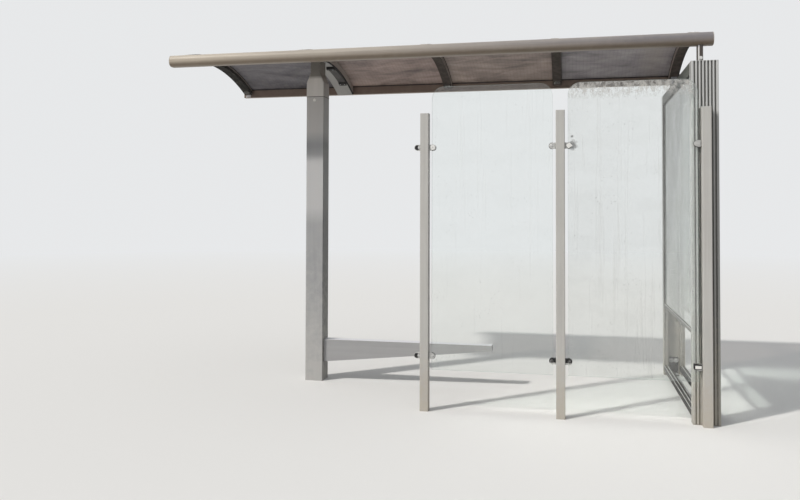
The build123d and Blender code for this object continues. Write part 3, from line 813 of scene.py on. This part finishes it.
def glassFinish(name, offset):
    material, tree, shader = newFinish(name)
    veil = useGroup(tree, smearGroup, {"Offset": offset})["Veil"]
    fill(shader, {"Base Color": blendColour(times(veil, 0.3), glass["tint"], glass["greasy"]), "IOR": 1.45,
                  "Roughness": remap(veil, 0.3, 1.0, 0.0, 0.03), "Transmission Weight": 1.0})
    throughLight(tree, shader, glass["shadow"])
    return material


# Thin films of dirt: veil is the least and most that the film hides
films = {
    "firstPaneGrime": dict(offset=(0.4, 0, 0.2), wiped=0.5, veil=(0.005, 0.035), runs=0.04, specks=0.25,
                           colour=(0.70, 0.71, 0.70)),
    "secondPaneGrime": dict(offset=(2.2, 0, 1.1), wiped=0.3, veil=(0.06, 0.17), runs=0.10, specks=0.45,
                            colour=(0.62, 0.63, 0.62), blots=True),
    "displayGrime": dict(offset=(1.3, 2.2, 0.5), wiped=0.15, veil=(0.08, 0.22), runs=0.05, specks=0.12,
                         colour=(0.70, 0.74, 0.72)),
}
blot = {
    "pale": (0.62, 0.61, 0.59),
    "topBand": 0.125,                     # metres of pale blotches below the pane's top
    "paleCover": 0.50,
    "dark": (0.09, 0.082, 0.075),
    "darkCover": 0.34,
    "smears": [((0.010, -0.022), (0.036, 0.044)), ((0.004, 0.044), (0.012, 0.010))],   # from the clamp
}
speckColour = (0.16, 0.145, 0.125)


def paneBlots(tree):
    # pale blotches along the second pane's top, dark smears round its first upper clamp
    high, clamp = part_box("glass_pane_2")[1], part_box("pane_clamps_2")[1]
    blotches = cloudy(scaledPlace(tree, (1.0, 1.0, 0.6)), "blotches")
    fromTop = minus(high.z, alongAxis(tree, "Z"))
    band = remap(maths("DIVIDE", fromTop, blot["topBand"]), 0.55, 1.0, 1.0, 0.0)
    smears = [nearSpot(tree, (clamp.x + x, 0, clamp.z + z), reach, 0.35) for (x, z), reach in blot["smears"]]
    return times(band, blotches), maths("MAXIMUM", *smears)


def grimeFinish(name):
    setting = films[name]
    material, tree, shader = newFinish(name)
    smear = useGroup(tree, smearGroup, {"Offset": setting["offset"], "Wiped": setting["wiped"]})
    tone = blendColour(smear["Specks"], setting["colour"], speckColour)
    cover = plus(remap(smear["Veil"], 0.0, 1.0, *setting["veil"]), times(smear["Runs"], setting["runs"]))
    cover = plus(cover, times(smear["Specks"], setting["specks"]), True)
    if "blots" in setting:
        for mask, kind in zip(paneBlots(tree), ("pale", "dark")):
            tone = blendColour(mask, tone, blot[kind])
            cover = plus(cover, times(mask, blot[kind + "Cover"]), True)
    fill(shader, {"Base Color": tone, "Alpha": cover, "Roughness": 0.9, "Specular IOR Level": 0.1})
    return material


rim = {"green": (0.22, 0.29, 0.26), "chalk": (0.42, 0.48, 0.45), "solid": (0.55, 0.8)}


def rimFinish(name):
    # the green edge of thick glass, chalky in places
    material, tree, shader = newFinish(name)
    patch = cloudy(objectPlace(tree), "rimPatches")
    fill(shader, {"Base Color": blendColour(patch, rim["green"], rim["chalk"]), "Roughness": 0.3,
                  "Alpha": remap(patch, 0, 1, *rim["solid"])})
    return material


for name in bays:
    made[name] = sheetFinish(name)
made["paneGlass"] = glassFinish("paneGlass", (0, 0, 0))
made["displayGlass"] = glassFinish("displayGlass", (4.1, 2.3, 0.7))
made["paneRim"] = rimFinish("paneRim")
for name in films:
    made[name] = grimeFinish(name)
print("finishes made:", len(made))

slotFinish = {
    "main_post_paint": "mainPostPaint", "beam_paint": "nearBeamPaint", "rib_paint": "ribPaint",
    "roof_sheet_plastic": "smokySheet", "glass_post_metal": "glassPostPaint", "pane_glass": "paneGlass",
    "clamp_steel": "clampSteel", "cabinet_metal": "flutedAluminium", "cabinet_rail_paint": "topRailPaint",
    "display_glass": "displayGlass", "spigot_steel": "spigotSteel", "black_trim": "blackRubber",
}
ownFinish = {
    "post_head": "postHeadPaint", "seat_beam": "seatBeamPaint", "rear_beam_caps": "beamCapPaint",
    "rear_foot_bracket": "footPaint", "front_foot_bracket": "footPaint",
    "roof_arm": "armPaint", "front_roof_beam": "farBeamPaint", "front_beam_caps": "farBeamPaint",
    "roof_cover_strips": "stripPaint", "roof_sheet_1": "darkSmokySheet",
    "roof_sheet_3": "warmSmokySheet", "roof_sheet_4": "greySmokySheet", "rib_brackets": "bracketPaint",
    "arm_lamp": "lampPaint", "pane_clamps_1": "firstClampSteel", "pane_clamps_2": "secondClampSteel",
    "left_bottom_rail": "bottomRailPaint", "right_bottom_rail": "bottomRailPaint",
    "left_middle_rail": "middleRailPaint", "right_middle_rail": "middleRailPaint",
}
for part in frame["record"]["subparts"]:
    materials = cadNodes[part["node"]].data.materials
    materials.clear()
    materials.append(made[ownFinish.get(part["node"], slotFinish[part["material_slot"]])])
print("carried nodes have their finishes")


# Geometry trees for what repeats or follows a line
def newShapeTree(name, inputs):
    shape = {"Geometry": "NodeSocketGeometry"}
    return newTree(name, "GeometryNodeTree", {**shape, **inputs, "Finish": "NodeSocketMaterial"}, shape)


def endTree(shape, finish, result):
    real = putAfter({0: shape}, "GeometryNodeRealizeInstances")[0]
    fill(result, {0: putAfter({"Geometry": real, "Material": finish}, "GeometryNodeSetMaterial")[0]})


def raised(shape, height):
    lift = putAfter({"Z": height}, "ShaderNodeCombineXYZ")[0]
    return putAfter({"Geometry": shape, "Translation": lift}, "GeometryNodeTransform")[0]


def makeFastenerTree():
    # a washer and a head at every point, standing along the point's facing
    tree, given, result = newShapeTree("fastenerRow", {
        "Head Sides": 6, "Head Radius": 0.008, "Head Height": 0.006, "Head Taper": 0.9, "Washer Sides": 20,
        "Washer Radius": 0.011, "Washer Height": 0.002, "Turn": 6.283, "Seed": 3})
    washer = putAfter({"Vertices": given["Washer Sides"], "Radius": given["Washer Radius"],
                       "Depth": given["Washer Height"]}, "GeometryNodeMeshCylinder")["Mesh"]
    head = putAfter({"Vertices": given["Head Sides"], "Radius Bottom": given["Head Radius"],
                     "Radius Top": times(given["Head Radius"], given["Head Taper"]),
                     "Depth": given["Head Height"]}, "GeometryNodeMeshCone")["Mesh"]
    joined = tree.nodes.new("GeometryNodeJoinGeometry")
    for shape, share in ((washer, 0.5), (head, 0.95)):
        tree.links.new(raised(shape, times(given["Washer Height"], share)), joined.inputs[0])
    stored = put(tree, "GeometryNodeInputNamedAttribute", {"Name": "facing"}, data_type="FLOAT_VECTOR")
    aim = putAfter({"Vector": stored.outputs["Attribute"]}, "FunctionNodeAlignRotationToVector", axis="Z")[0]
    spin = putAfter({2: 0.0, 3: given["Turn"], "Seed": given["Seed"]}, "FunctionNodeRandomValue",
                    data_type="FLOAT")[1]
    twist = putAfter({"Axis": (0, 0, 1), "Angle": spin}, "FunctionNodeAxisAngleToRotation")[0]
    turned = putAfter({0: aim, 1: twist}, "FunctionNodeRotateRotation", rotation_space="LOCAL")[0]
    row = {"Points": given["Geometry"], "Instance": joined.outputs[0], "Rotation": turned}
    endTree(putAfter(row, "GeometryNodeInstanceOnPoints")[0], given["Finish"], result)
    return tree


def makeBeadTree():
    # a bead of round section along every line of edges
    tree, given, result = newShapeTree("bead", {"Radius": 0.003, "Sides": 8})
    path = putAfter({"Mesh": given["Geometry"]}, "GeometryNodeMeshToCurve")[0]
    ring = putAfter({"Resolution": given["Sides"], "Radius": given["Radius"]},
                    "GeometryNodeCurvePrimitiveCircle")[0]
    tube = putAfter({"Curve": path, "Profile Curve": ring, "Fill Caps": True}, "GeometryNodeCurveToMesh")[0]
    endTree(tube, given["Finish"], result)
    return tree


def grow(piece, tree, values):
    # the tree's result takes the place of the points that it started from
    modifier = piece.modifiers.new("shape", "NODES")
    modifier.node_group = tree
    for item in tree.interface.items_tree:
        if item.in_out == "INPUT" and item.name in values:
            modifier[item.identifier] = values[item.name]
    bpy.context.view_layer.update()
    graph = bpy.context.evaluated_depsgraph_get()
    start, grown = piece.data, bpy.data.meshes.new_from_object(piece.evaluated_get(graph))
    piece.modifiers.clear()
    piece.data = grown
    bpy.data.meshes.remove(start)
    grown.name = piece.name


def tidyMesh(piece, bevel=0.0, smoothAngle=35, bevelAngle=40):
    # joins doubles, points faces outwards, softens hard edges
    shape = bmesh.new()
    shape.from_mesh(piece.data)
    bmesh.ops.remove_doubles(shape, verts=shape.verts, dist=nearlyNone)
    bmesh.ops.recalc_face_normals(shape, faces=shape.faces)

    def sharper(edge, limit):
        return edge.calc_face_angle(0) > math.radians(limit)

    if bevel:
        hard = [edge for edge in shape.edges if len(edge.link_faces) == 2 and sharper(edge, bevelAngle)]
        bmesh.ops.bevel(shape, geom=hard, offset=bevel, segments=2, affect="EDGES", clamp_overlap=True)
    for face in shape.faces:
        face.smooth = True
    for edge in shape.edges:
        if len(edge.link_faces) != 2 or sharper(edge, smoothAngle):
            edge.smooth = False
    shape.to_mesh(piece.data)
    shape.free()


fastenerTree = makeFastenerTree()
beadTree = makeBeadTree()
usualBevel = 0.0006
nearlyNone = 1e-6                         # metres; points that are closer are one
added = []


def newPiece(name, points, edges=(), faces=()):
    mesh = bpy.data.meshes.new(name)
    mesh.from_pydata([tuple(point) for point in points], list(edges), list(faces))
    piece = bpy.data.objects.new(name, mesh)
    scene.collection.objects.link(piece)
    return piece


def settle(piece, bevel=0.0):
    tidyMesh(piece, bevel)
    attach(piece, "root")
    added.append(piece.name)


def makeFasteners(name, spots, setting):
    # spots are pairs of a place and the way it faces; head is its sides, radius, height and taper,
    # washer its radius, height and, if not 20, sides
    places, facings = zip(*spots)
    piece = newPiece(name, places)
    stored = piece.data.attributes.new("facing", "FLOAT_VECTOR", "POINT")
    stored.data.foreach_set("vector", [value for facing in facings for value in facing])
    values = dict(zip(("Head Sides", "Head Radius", "Head Height", "Head Taper"), setting["head"]))
    values.update(zip(("Washer Radius", "Washer Height", "Washer Sides"), setting["washer"]))
    grow(piece, fastenerTree, dict(values, Seed=setting["seed"], Finish=made[setting["finish"]]))
    settle(piece, setting.get("bevel", usualBevel))


def makeBeads(name, paths, setting):
    # a path that ends where it starts is closed
    points, edges = [], []
    for path in paths:
        closed = (Vector(path[0]) - Vector(path[-1])).length < nearlyNone
        run = path[:-1] if closed else path
        first, last = len(points), len(points) + len(run) - 1
        points += run
        edges += [(number, number + 1) for number in range(first, last)]
        if closed:
            edges.append((last, first))
    piece = newPiece(name, points, edges)
    finish = made[setting.get("finish", "blackRubber")]
    grow(piece, beadTree, {"Radius": setting["radius"], "Sides": setting["sides"], "Finish": finish})
    settle(piece)


def makeSkin(name, points, faces, finish, bevel=0.0):
    piece = newPiece(name, points, faces=faces)
    piece.data.materials.append(made[finish])
    settle(piece, bevel)


def bandFaces(first, count, after):
    # a closed row of faces from the ring of points at first to the ring at after
    ring = [(k, (k + 1) % count) for k in range(count)]
    return [(first + a, first + b, after + b, after + a) for a, b in ring]


def makeSlabs(name, outlines, push, finish, bevel=0.0):
    # closed slabs from flat outlines, each pushed through its thickness
    points, faces = [], []
    for outline in outlines:
        first, count = len(points), len(outline)
        points += [Vector(point) for point in outline] + [Vector(point) + Vector(push) for point in outline]
        faces.append(tuple(range(first, first + count)))
        faces.append(tuple(range(first + 2 * count - 1, first + count - 1, -1)))
        faces += bandFaces(first, count, first + count)
    makeSkin(name, points, faces, finish, bevel)


# Places along the roof's arch; an offset is measured outwards from the sheets' underside
def archPoint(x, y, offset):
    return Vector((x, y, archZ + math.sqrt((archRadius + offset) ** 2 - (y - archY) ** 2)))


def archNormal(y, offset):
    return (archPoint(0, y, offset) - Vector((0, archY, archZ))).normalized()


def archPath(x, offset, start=rearFace + arch["clear"], end=frontFace - arch["clear"], steps=28):
    return [archPoint(x, start + (end - start) * number / steps, offset) for number in range(steps + 1)]


def pairUnderArch(x, y, offset, spread):
    return [(archPoint(x + side * spread, y, offset), -archNormal(y, offset)) for side in (-1, 1)]


ribXs = [box(name)[2].x for name in ("left_end_rib", "left_rib", "right_rib", "right_end_rib")]
ribHalf = (box("left_rib")[1].x - box("left_rib")[0].x) / 2
armLow, armHigh, armMid = box("roof_arm")
stripXs = sorted(ribXs + [armMid.x])
sheetLeft, sheetRight = box("roof_sheet_1")[0].x, box("roof_sheet_4")[1].x

# Low screws through the cover strips, none on the crest
coverScrews = {"head": (16, 0.0062, 0.0022, 0.62), "washer": (0.0098, 0.0008), "seed": 11,
               "finish": "boltSteel", "bevel": 0.0003}
coverRow = {"fromCrest": 0.12, "pitch": 0.19, "clearOfBeams": 0.09, "offset": arch["sheet"] + arch["strip"]}
spots = []
rowEnds = ((-1, rearFace + coverRow["clearOfBeams"]), (1, frontFace - coverRow["clearOfBeams"]))
for x in stripXs:
    for way, end in rowEnds:
        y = archY + way * coverRow["fromCrest"]
        while (end - y) * way > 0:
            spots.append((archPoint(x, y, coverRow["offset"]), archNormal(y, coverRow["offset"])))
            y += way * coverRow["pitch"]
makeFasteners("cover_strip_screws", spots, coverScrews)

# Bolts under the rib brackets
bracketBolts = {"head": (6, 0.0095, 0.008, 0.94), "washer": (0.014, 0.0025), "seed": 5,
                "finish": "bracketPaint"}
bracket = {"thickness": 0.005, "inset": 0.048, "spread": 0.013}
spots = []
for x in ribXs:
    for y in (rearFace + bracket["inset"], frontFace - bracket["inset"]):
        spots += pairUnderArch(x, y, -arch["rib"] - bracket["thickness"], bracket["spread"])
makeFasteners("rib_bracket_bolts", spots, bracketBolts)
print("roof fasteners made")

# White bolt caps on the main post, under the head's joint
postCaps = {"head": (24, 0.0125, 0.0075, 0.62), "washer": (0.0145, 0.002), "seed": 2, "finish": "whiteCap"}
postCap = {"drop": 0.030, "aside": 0.004}
capZ = postHigh.z - postCap["drop"]
spots = [((postMid.x - postCap["aside"], postLow.y, capZ), (0, -1, 0)),
         ((postMid.x, postHigh.y, capZ), (0, 1, 0))]
makeFasteners("main_post_bolt_caps", spots, postCaps)

# Thin bright strip along the lamp, its screws, and the black seam on the arm's lower right edge
lampStrip = {"radius": 0.0032, "sides": 8, "finish": "boltSteel", "proud": 0.002}
lampScrews = {"head": (12, 0.004, 0.0016, 0.7), "washer": (0.0052, 0.0006), "seed": 8,
              "finish": "boltSteel", "bevel": 0.0002, "inset": 0.023, "spread": 0.022, "offset": 0.024}
armSeam = {"radius": 0.0075, "sides": 10, "inset": 0.003}
lampLow, lampMid = box("arm_lamp")[::2]
lampStart, lampEnd = [corner.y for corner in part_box("arm_lamp_ends")]
strip = archPath(lampLow.x - lampStrip["proud"], -arch["arm"] - lampStrip["proud"], lampStart, lampEnd)
makeBeads("lamp_edge_strip", [strip], lampStrip)
makeBeads("arm_edge_seam", [archPath(armHigh.x - armSeam["inset"], armSeam["inset"] - arch["arm"])], armSeam)
spots = []
for y in (lampStart + lampScrews["inset"], lampEnd - lampScrews["inset"]):
    spots += pairUnderArch(lampMid.x, y, -arch["arm"] - lampScrews["offset"], lampScrews["spread"])
makeFasteners("lamp_screws", spots, lampScrews)

# Pane clamps: round caps, a turned square plate and low plates, as they were mended over the years
clamp = {"length": 0.047, "height": 0.044, "half": 0.015, "screwFromPost": 0.030, "bareScrewFromPost": 0.008}
clampSpots = {}
for number, side in ((1, -1), (1, 1), (2, -1), (2, 1), (3, -1)):
    postStart, postEnd, middle = box("glass_post_%d" % number)
    low, high, mid = box("pane_clamps_%d" % number)
    out = clamp["bareScrewFromPost" if (number, side) == (1, -1) else "screwFromPost"]
    x = middle.x + side * (postEnd.x - postStart.x) / 2 + side * out
    for level, z in (("low", low.z + clamp["height"] / 2), ("high", high.z - clamp["height"] / 2)):
        clampSpots[(number, side, level)] = (x, mid.y, z)


def onBothFaces(keys, proud=0.0):
    # the two faces of every clamp that's named, as places and the ways they face
    return [((x, y + way * (clamp["half"] + proud), z), (0, way, 0))
            for x, y, z in [clampSpots[key] for key in keys] for way in (-1, 1)]


clampScrews = {"head": (20, 0.0095, 0.005, 0.66), "washer": (0.012, 0.0012), "seed": 4, "finish": "boltSteel"}
roundCap = {"head": (32, 0.0205, 0.0045, 0.86), "washer": (0.0225, 0.0012, 32), "seed": 1,
            "finish": "palePlate", "bevel": 0.0010}
capScrew = {"head": (12, 0.0042, 0.0012, 0.8), "washer": (0.0050, 0.0004), "seed": 6,
            "finish": "clampSteel", "bevel": 0.0002, "proud": 0.0055}
rounded, turned = (1, 1, "high"), (2, 1, "high")
lastLow, lastHigh = (3, -1, "low"), (3, -1, "high")
blackened = [(2, -1, "low"), (2, 1, "low")]
bare = [key for key in clampSpots if key not in [rounded, turned, lastLow, lastHigh] + blackened]
blackScrews = dict(clampScrews, finish="blackRubber")
makeFasteners("pane_clamp_screws", onBothFaces(bare), clampScrews)
makeFasteners("black_clamp_screws", onBothFaces(blackened), blackScrews)
makeFasteners("round_clamp_caps", onBothFaces([rounded]), roundCap)
makeFasteners("round_cap_screws", onBothFaces([rounded], capScrew["proud"]), capScrew)


def makePlates(name, key, setting):
    # a plate on both faces of one clamp; its outline runs along X and Z
    half, shift = setting["half"], setting.get("shift", 0.0)
    outlines = [[(x - shift + a, y - half, z + shift + b) for a, b in setting["outline"]]
                for (x, y, z), facing in onBothFaces([key], setting.get("under", 0.0) + half)]
    makeSlabs(name, outlines, (0, 2 * half, 0), setting["finish"], setting["bevel"])


def oblong(left, low, right, high):
    return [(left, low), (right, low), (right, high), (left, high)]


turnedPlate = {"outline": [(-0.026, 0.002), (-0.003, -0.021), (0.027, -0.004), (0.004, 0.021)],
               "half": 0.0022, "finish": "palePlate", "bevel": 0.0010}
highPlate = {"outline": oblong(-0.0205, -0.0105, 0.0205, 0.0115), "half": 0.0020,
             "finish": "clampSteel", "bevel": 0.0012}
lowPad = {"outline": oblong(-0.0255, -0.0190, 0.0255, 0.0190), "half": 0.0008,
          "finish": "blackRubber", "bevel": 0.0005, "shift": 0.003}
lowPlate = dict(highPlate, finish="whiteCap", under=2 * lowPad["half"])
makePlates("turned_clamp_plates", turned, turnedPlate)
makePlates("low_clamp_plates", lastLow, lowPlate)
makePlates("high_clamp_plates", lastHigh, highPlate)
makePlates("clamp_plate_pads", lastLow, lowPad)

# Screws in the beams' end caps, sunk so that only their rims stand out
endScrews = {"head": (16, 0.0055, 0.0022, 0.6), "washer": (0.0065, 0.0004), "seed": 6,
             "finish": "boltSteel", "bevel": 0.0003, "fromMiddle": 0.028, "sunk": 0.0026}
spots = []
for name in ("rear_beam_caps", "front_beam_caps"):
    low, high, mid = box(name)
    for rise in (-endScrews["fromMiddle"], endScrews["fromMiddle"]):
        for x, way in ((low.x, -1), (high.x, 1)):
            spots.append(((x - way * endScrews["sunk"], mid.y, mid.z + rise), (way, 0, 0)))
makeFasteners("beam_cap_screws", spots, endScrews)

# Bolts through the spigots' flanges, and bright set screws low on their outer sides
flangeBolts = {"head": (6, 0.0055, 0.0045, 0.93), "washer": (0.0065, 0.001), "seed": 7,
               "finish": "boltSteel", "bevel": 0.0004, "circle": 0.0305, "up": 0.006}
setScrews = {"head": (6, 0.0130, 0.0090, 0.94), "washer": (0.0150, 0.0020), "seed": 15,
             "finish": "setScrewSteel", "up": 0.052, "out": 0.0222, "aside": 0.002}
bolts, screws = [], []
for name, way in (("rear_spigot", -1), ("front_spigot", 1)):
    low, mid = box(name)[::2]
    for angle in (45, 135, 225, 315):
        x = mid.x + flangeBolts["circle"] * math.cos(math.radians(angle))
        y = mid.y + flangeBolts["circle"] * math.sin(math.radians(angle))
        bolts.append(((x, y, low.z + flangeBolts["up"]), (0, 0, 1)))
    place = (mid.x + setScrews["aside"], mid.y + way * setScrews["out"], low.z + setScrews["up"])
    screws.append((place, (0, way, 0)))
makeFasteners("spigot_flange_bolts", bolts, flangeBolts)
makeFasteners("spigot_set_screws", screws, setScrews)

# Screws in the uprights' caps
uprightScrews = dict(endScrews, seed=12, spread=0.074, inset=0.040)
low, high, mid = box("upright_caps")
spots = [((mid.x + side * uprightScrews["spread"], y, high.z), (0, 0, 1))
         for y in (low.y + uprightScrews["inset"], high.y - uprightScrews["inset"]) for side in (-1, 1)]
makeFasteners("upright_cap_screws", spots, uprightScrews)

# Anchor nuts on the foot brackets
anchorNuts = {"head": (6, 0.0135, 0.012, 0.95), "washer": (0.020, 0.003), "seed": 9, "finish": "boltSteel",
              "bevel": 0.0009, "spread": 0.021, "out": 0.066, "plate": 0.008, "belowTop": 0.034}
spots = []
for name, inward in (("rear_foot_bracket", 1), ("front_foot_bracket", -1)):
    low, high, mid = box(name)
    outer = low.y if inward > 0 else high.y
    out, plate = inward * anchorNuts["out"], anchorNuts["plate"]
    for x in (mid.x - anchorNuts["spread"], mid.x + anchorNuts["spread"]):
        spots.append(((x, outer + out, low.z + plate), (0, 0, 1)))
        spots.append(((x, outer + inward * plate, high.z - anchorNuts["belowTop"]), (0, inward, 0)))
makeFasteners("foot_bracket_nuts", spots, anchorNuts)
print("post, clamp and cabinet fasteners made")

# Rubber seals where the sheets enter the beams, with gaps for what crosses them
sealBead = {"radius": 0.0042, "sides": 8, "out": 0.0035, "shortest": 0.02, "stripHalf": 0.031}
crossing = [(x - ribHalf, x + ribHalf) for x in ribXs] + [(armLow.x, armHigh.x)]
strips = [(x - sealBead["stripHalf"], x + sealBead["stripHalf"]) for x in stripXs]
paths = []
for y in (rearFace + sealBead["out"], frontFace - sealBead["out"]):
    for offset, gaps in ((-sealBead["out"], crossing), (arch["sheet"] + sealBead["out"], strips)):
        start = sheetLeft
        for left, right in sorted(gaps) + [(sheetRight, sheetRight)]:
            if left - start > sealBead["shortest"]:
                paths.append([archPoint(x, y, offset) for x in (start, (start + left) / 2, left)])
            start = right
makeBeads("sheet_edge_seals", paths, sealBead)

# Thin seals beside the ribs, and dark gaskets along the outer lower edges of the end ribs
ribBead = {"radius": 0.0022, "sides": 8, "out": 0.0018}
edgeBead = {"radius": 0.0055, "sides": 10, "inset": 0.004, "up": 0.002}
edges = [x + side * (ribHalf + ribBead["out"]) for x in ribXs for side in (-1, 1)]
makeBeads("rib_seals", [archPath(x, -ribBead["out"]) for x in edges if sheetLeft < x < sheetRight], ribBead)
outerEdges = (sheetLeft + edgeBead["inset"], sheetRight - edgeBead["inset"])
makeBeads("end_rib_gaskets", [archPath(x, edgeBead["up"] - arch["rib"]) for x in outerEdges], edgeBead)


def arcPoints(x, y, radius, begin, turn, steps):
    # places round a corner in a plane, as pairs
    angles = [math.radians(begin + turn * step / steps) for step in range(steps + 1)]
    return [(x + radius * math.cos(angle), y + radius * math.sin(angle)) for angle in angles]


# Sealed joint under the post's head, and the seat beam's root against the post
jointBead = {"radius": 0.0020, "sides": 6, "corner": 0.008, "inset": 0.001}
half = (postHigh.x - postLow.x) / 2 - jointBead["corner"]
loop = []
for cornerX, cornerY, begin in ((1, 1, 0), (-1, 1, 90), (-1, -1, 180), (1, -1, 270)):
    loop += [(x, y, postHigh.z) for x, y in arcPoints(
        postMid.x + cornerX * half, postMid.y + cornerY * half, jointBead["corner"], begin, 90, 4)]
seatLow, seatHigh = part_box("seat_beam")
inset = jointBead["inset"]
root = [(postHigh.x, y, z) for y, z in oblong(
    seatLow.y + inset, seatLow.z + inset, seatHigh.y - inset, seatHigh.z - inset)]
makeBeads("post_joint_seals", [loop + loop[:1], root + root[:1]], jointBead)

# Bright lips along the cabinet's lower rails, partly rubbed bare and partly painted highlights along their
# edges
railLip = {"radius": 0.0026, "sides": 8, "finish": "wornHighlightEdge", "sunk": 0.0027, "rise": 0.0010,
           "groove": 0.0068, "margin": 0.002}
paths = []
for name, outward in (("left", -1), ("right", 1)):
    low, high, mid = box(name + "_bottom_rail")
    start, end = low.y + railLip["margin"], high.y - railLip["margin"]
    topZ, lowZ = high.z - railLip["rise"], low.z + railLip["rise"]
    edge, middleEdge = [(rail[0].x if outward < 0 else rail[1].x) - outward * railLip["sunk"]
                        for rail in ((low, high), box(name + "_middle_rail"))]
    middleZ = box(name + "_middle_rail")[1].z - railLip["rise"]
    groove = mid.x - outward * railLip["groove"]
    for x, z in ((edge, topZ), (groove, topZ), (edge, lowZ), (middleEdge, middleZ)):
        paths.append([(x, start, z), (x, end, z)])
makeBeads("rail_lips", paths, railLip)


def glassLoop(name, x, inset):
    # round the part of a display glass that shows, moved inwards
    railLow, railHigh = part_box("cabinet_top_rail")
    return [(x, y, z) for y, z in oblong(railLow.y + inset, box(name + "_middle_rail")[1].z + inset,
                                         railHigh.y - inset, railLow.z - inset)]


# Wedge gaskets round the display glass
gasketBead = {"radius": 0.0026, "sides": 6, "fromGlass": 0.0045, "inset": 0.001}
paths = []
for name in ("left", "right"):
    for side in (-1, 1):
        x = box(name + "_display_glass")[2].x + side * gasketBead["fromGlass"]
        loop = glassLoop(name, x, gasketBead["inset"])
        paths.append(loop + loop[:1])
makeBeads("display_glass_gaskets", paths, gasketBead)

# Rubber rims between the clamps and the glass
rimBead = {"radius": 0.0017, "sides": 6, "root": 0.0225, "out": 0.0012, "proud": 0.0005}
paneLow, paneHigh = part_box("glass_pane_1")
rimRadius = clamp["height"] / 2 + rimBead["out"]
paths = []
for (number, side, level), (x, y, z) in clampSpots.items():
    if (number, side) == (1, -1):
        continue                          # an open clamp
    rootX = x + side * (rimBead["root"] - clamp["screwFromPost"])
    noseX = side * x + clamp["length"] - clamp["height"] / 2 - clamp["screwFromPost"]
    nose = arcPoints(noseX, z, rimRadius, -90, 180, 8)
    for face in (paneLow.y - rimBead["proud"], paneHigh.y + rimBead["proud"]):
        run = [(rootX, face, z - rimRadius)] + [(side * a, face, b) for a, b in nose]
        paths.append(run + [(rootX, face, z + rimRadius)])
makeBeads("clamp_rims", paths, rimBead)

# Dark strip between the last glass post and the fluted upright, painted shade for the shaded gap there
shadowGapStrip = {"radius": 0.0050, "sides": 8, "finish": "shadowGapRubber", "from": 0.43, "belowTop": 0.004,
           "out": 0.003}
low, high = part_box("glass_post_3")
x, y = low.x - shadowGapStrip["out"], high.y - shadowGapStrip["belowTop"]
makeBeads("upright_shadow_gap_strip", [[(x, y, shadowGapStrip["from"]), (x, y, high.z - shadowGapStrip["belowTop"])]], shadowGapStrip)
print("seals and gaskets made")

# Dirt films on the panes and the display glass, and the panes' green rims
film = {"gap": 0.0004, "thickness": 0.0003, "cornerRadius": 0.095, "margin": 0.002, "rim": 0.0006,
        "rimLap": 0.0001, "rimInset": 0.0003, "glassHalf": 0.0025, "displayMargin": 0.004}


def paneOutline(low, high, margin):
    radius = film["cornerRadius"] - margin
    left, right, bottom, top = low.x + margin, high.x - margin, low.z + margin, high.z - margin
    outline = [(left, bottom), (right, bottom)]
    outline += arcPoints(right - radius, top - radius, radius, 0, 90, 12)
    return outline + arcPoints(left + radius, top - radius, radius, 90, 90, 12)


def makeRim(name, low, high):
    # a thin closed band round a pane's edge
    near, far = low.y + film["rimInset"], high.y - film["rimInset"]
    lap, out = film["rimLap"], -film["rim"]
    points, faces = [], []
    for margin, y in ((lap, near), (out, near), (out, far), (lap, far)):
        points += [(x, y, z) for x, z in paneOutline(low, high, margin)]
    count = len(points) // 4
    for ring in range(4):
        faces += bandFaces(ring * count, count, (ring + 1) % 4 * count)
    makeSkin(name, points, faces, "paneRim")


for number, finish in ((1, "firstPaneGrime"), (2, "secondPaneGrime")):
    low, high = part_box("glass_pane_%d" % number)
    outline = [(x, low.y - film["gap"], z) for x, z in paneOutline(low, high, film["margin"])]
    makeSlabs("pane_film_%d" % number, [outline], (0, -film["thickness"], 0), finish)
    makeRim("pane_rim_%d" % number, low, high)
for name, side in (("left", -1), ("right", 1)):
    x = box(name + "_display_glass")[2].x + side * (film["glassHalf"] + film["gap"])
    push = (side * film["thickness"], 0, 0)
    outline = glassLoop(name, x, film["displayMargin"])
    makeSlabs(name + "_display_film", [outline], push, "displayGrime")
print("dirt films made")

# Thin dark closing strips over the sheets' outer ends
trim = {"width": 0.0025, "above": 0.0015, "below": 0.004, "steps": 30, "fromBeams": 0.004}
trimEnds = (rearFace + trim["fromBeams"], frontFace - trim["fromBeams"], trim["steps"])
points, faces = [], []
for x, side in ((sheetLeft, -1), (sheetRight, 1)):
    first, outer = len(points), x + side * trim["width"]
    under, over = -trim["below"], arch["sheet"] + trim["above"]
    corners = ((x, under), (outer, under), (outer, over), (x, over))
    runs = [archPath(place, offset, *trimEnds) for place, offset in corners]
    points += [point for ring in zip(*runs) for point in ring]
    last = len(points) - 4
    for ring in range(first, last, 4):
        faces += bandFaces(ring, 4, ring + 4)
    faces += [tuple(range(first, first + 4)), tuple(range(last + 3, last - 1, -1))]
makeSkin("sheet_edge_trim", points, faces, "stripPaint")
print("pieces added:", len(added))
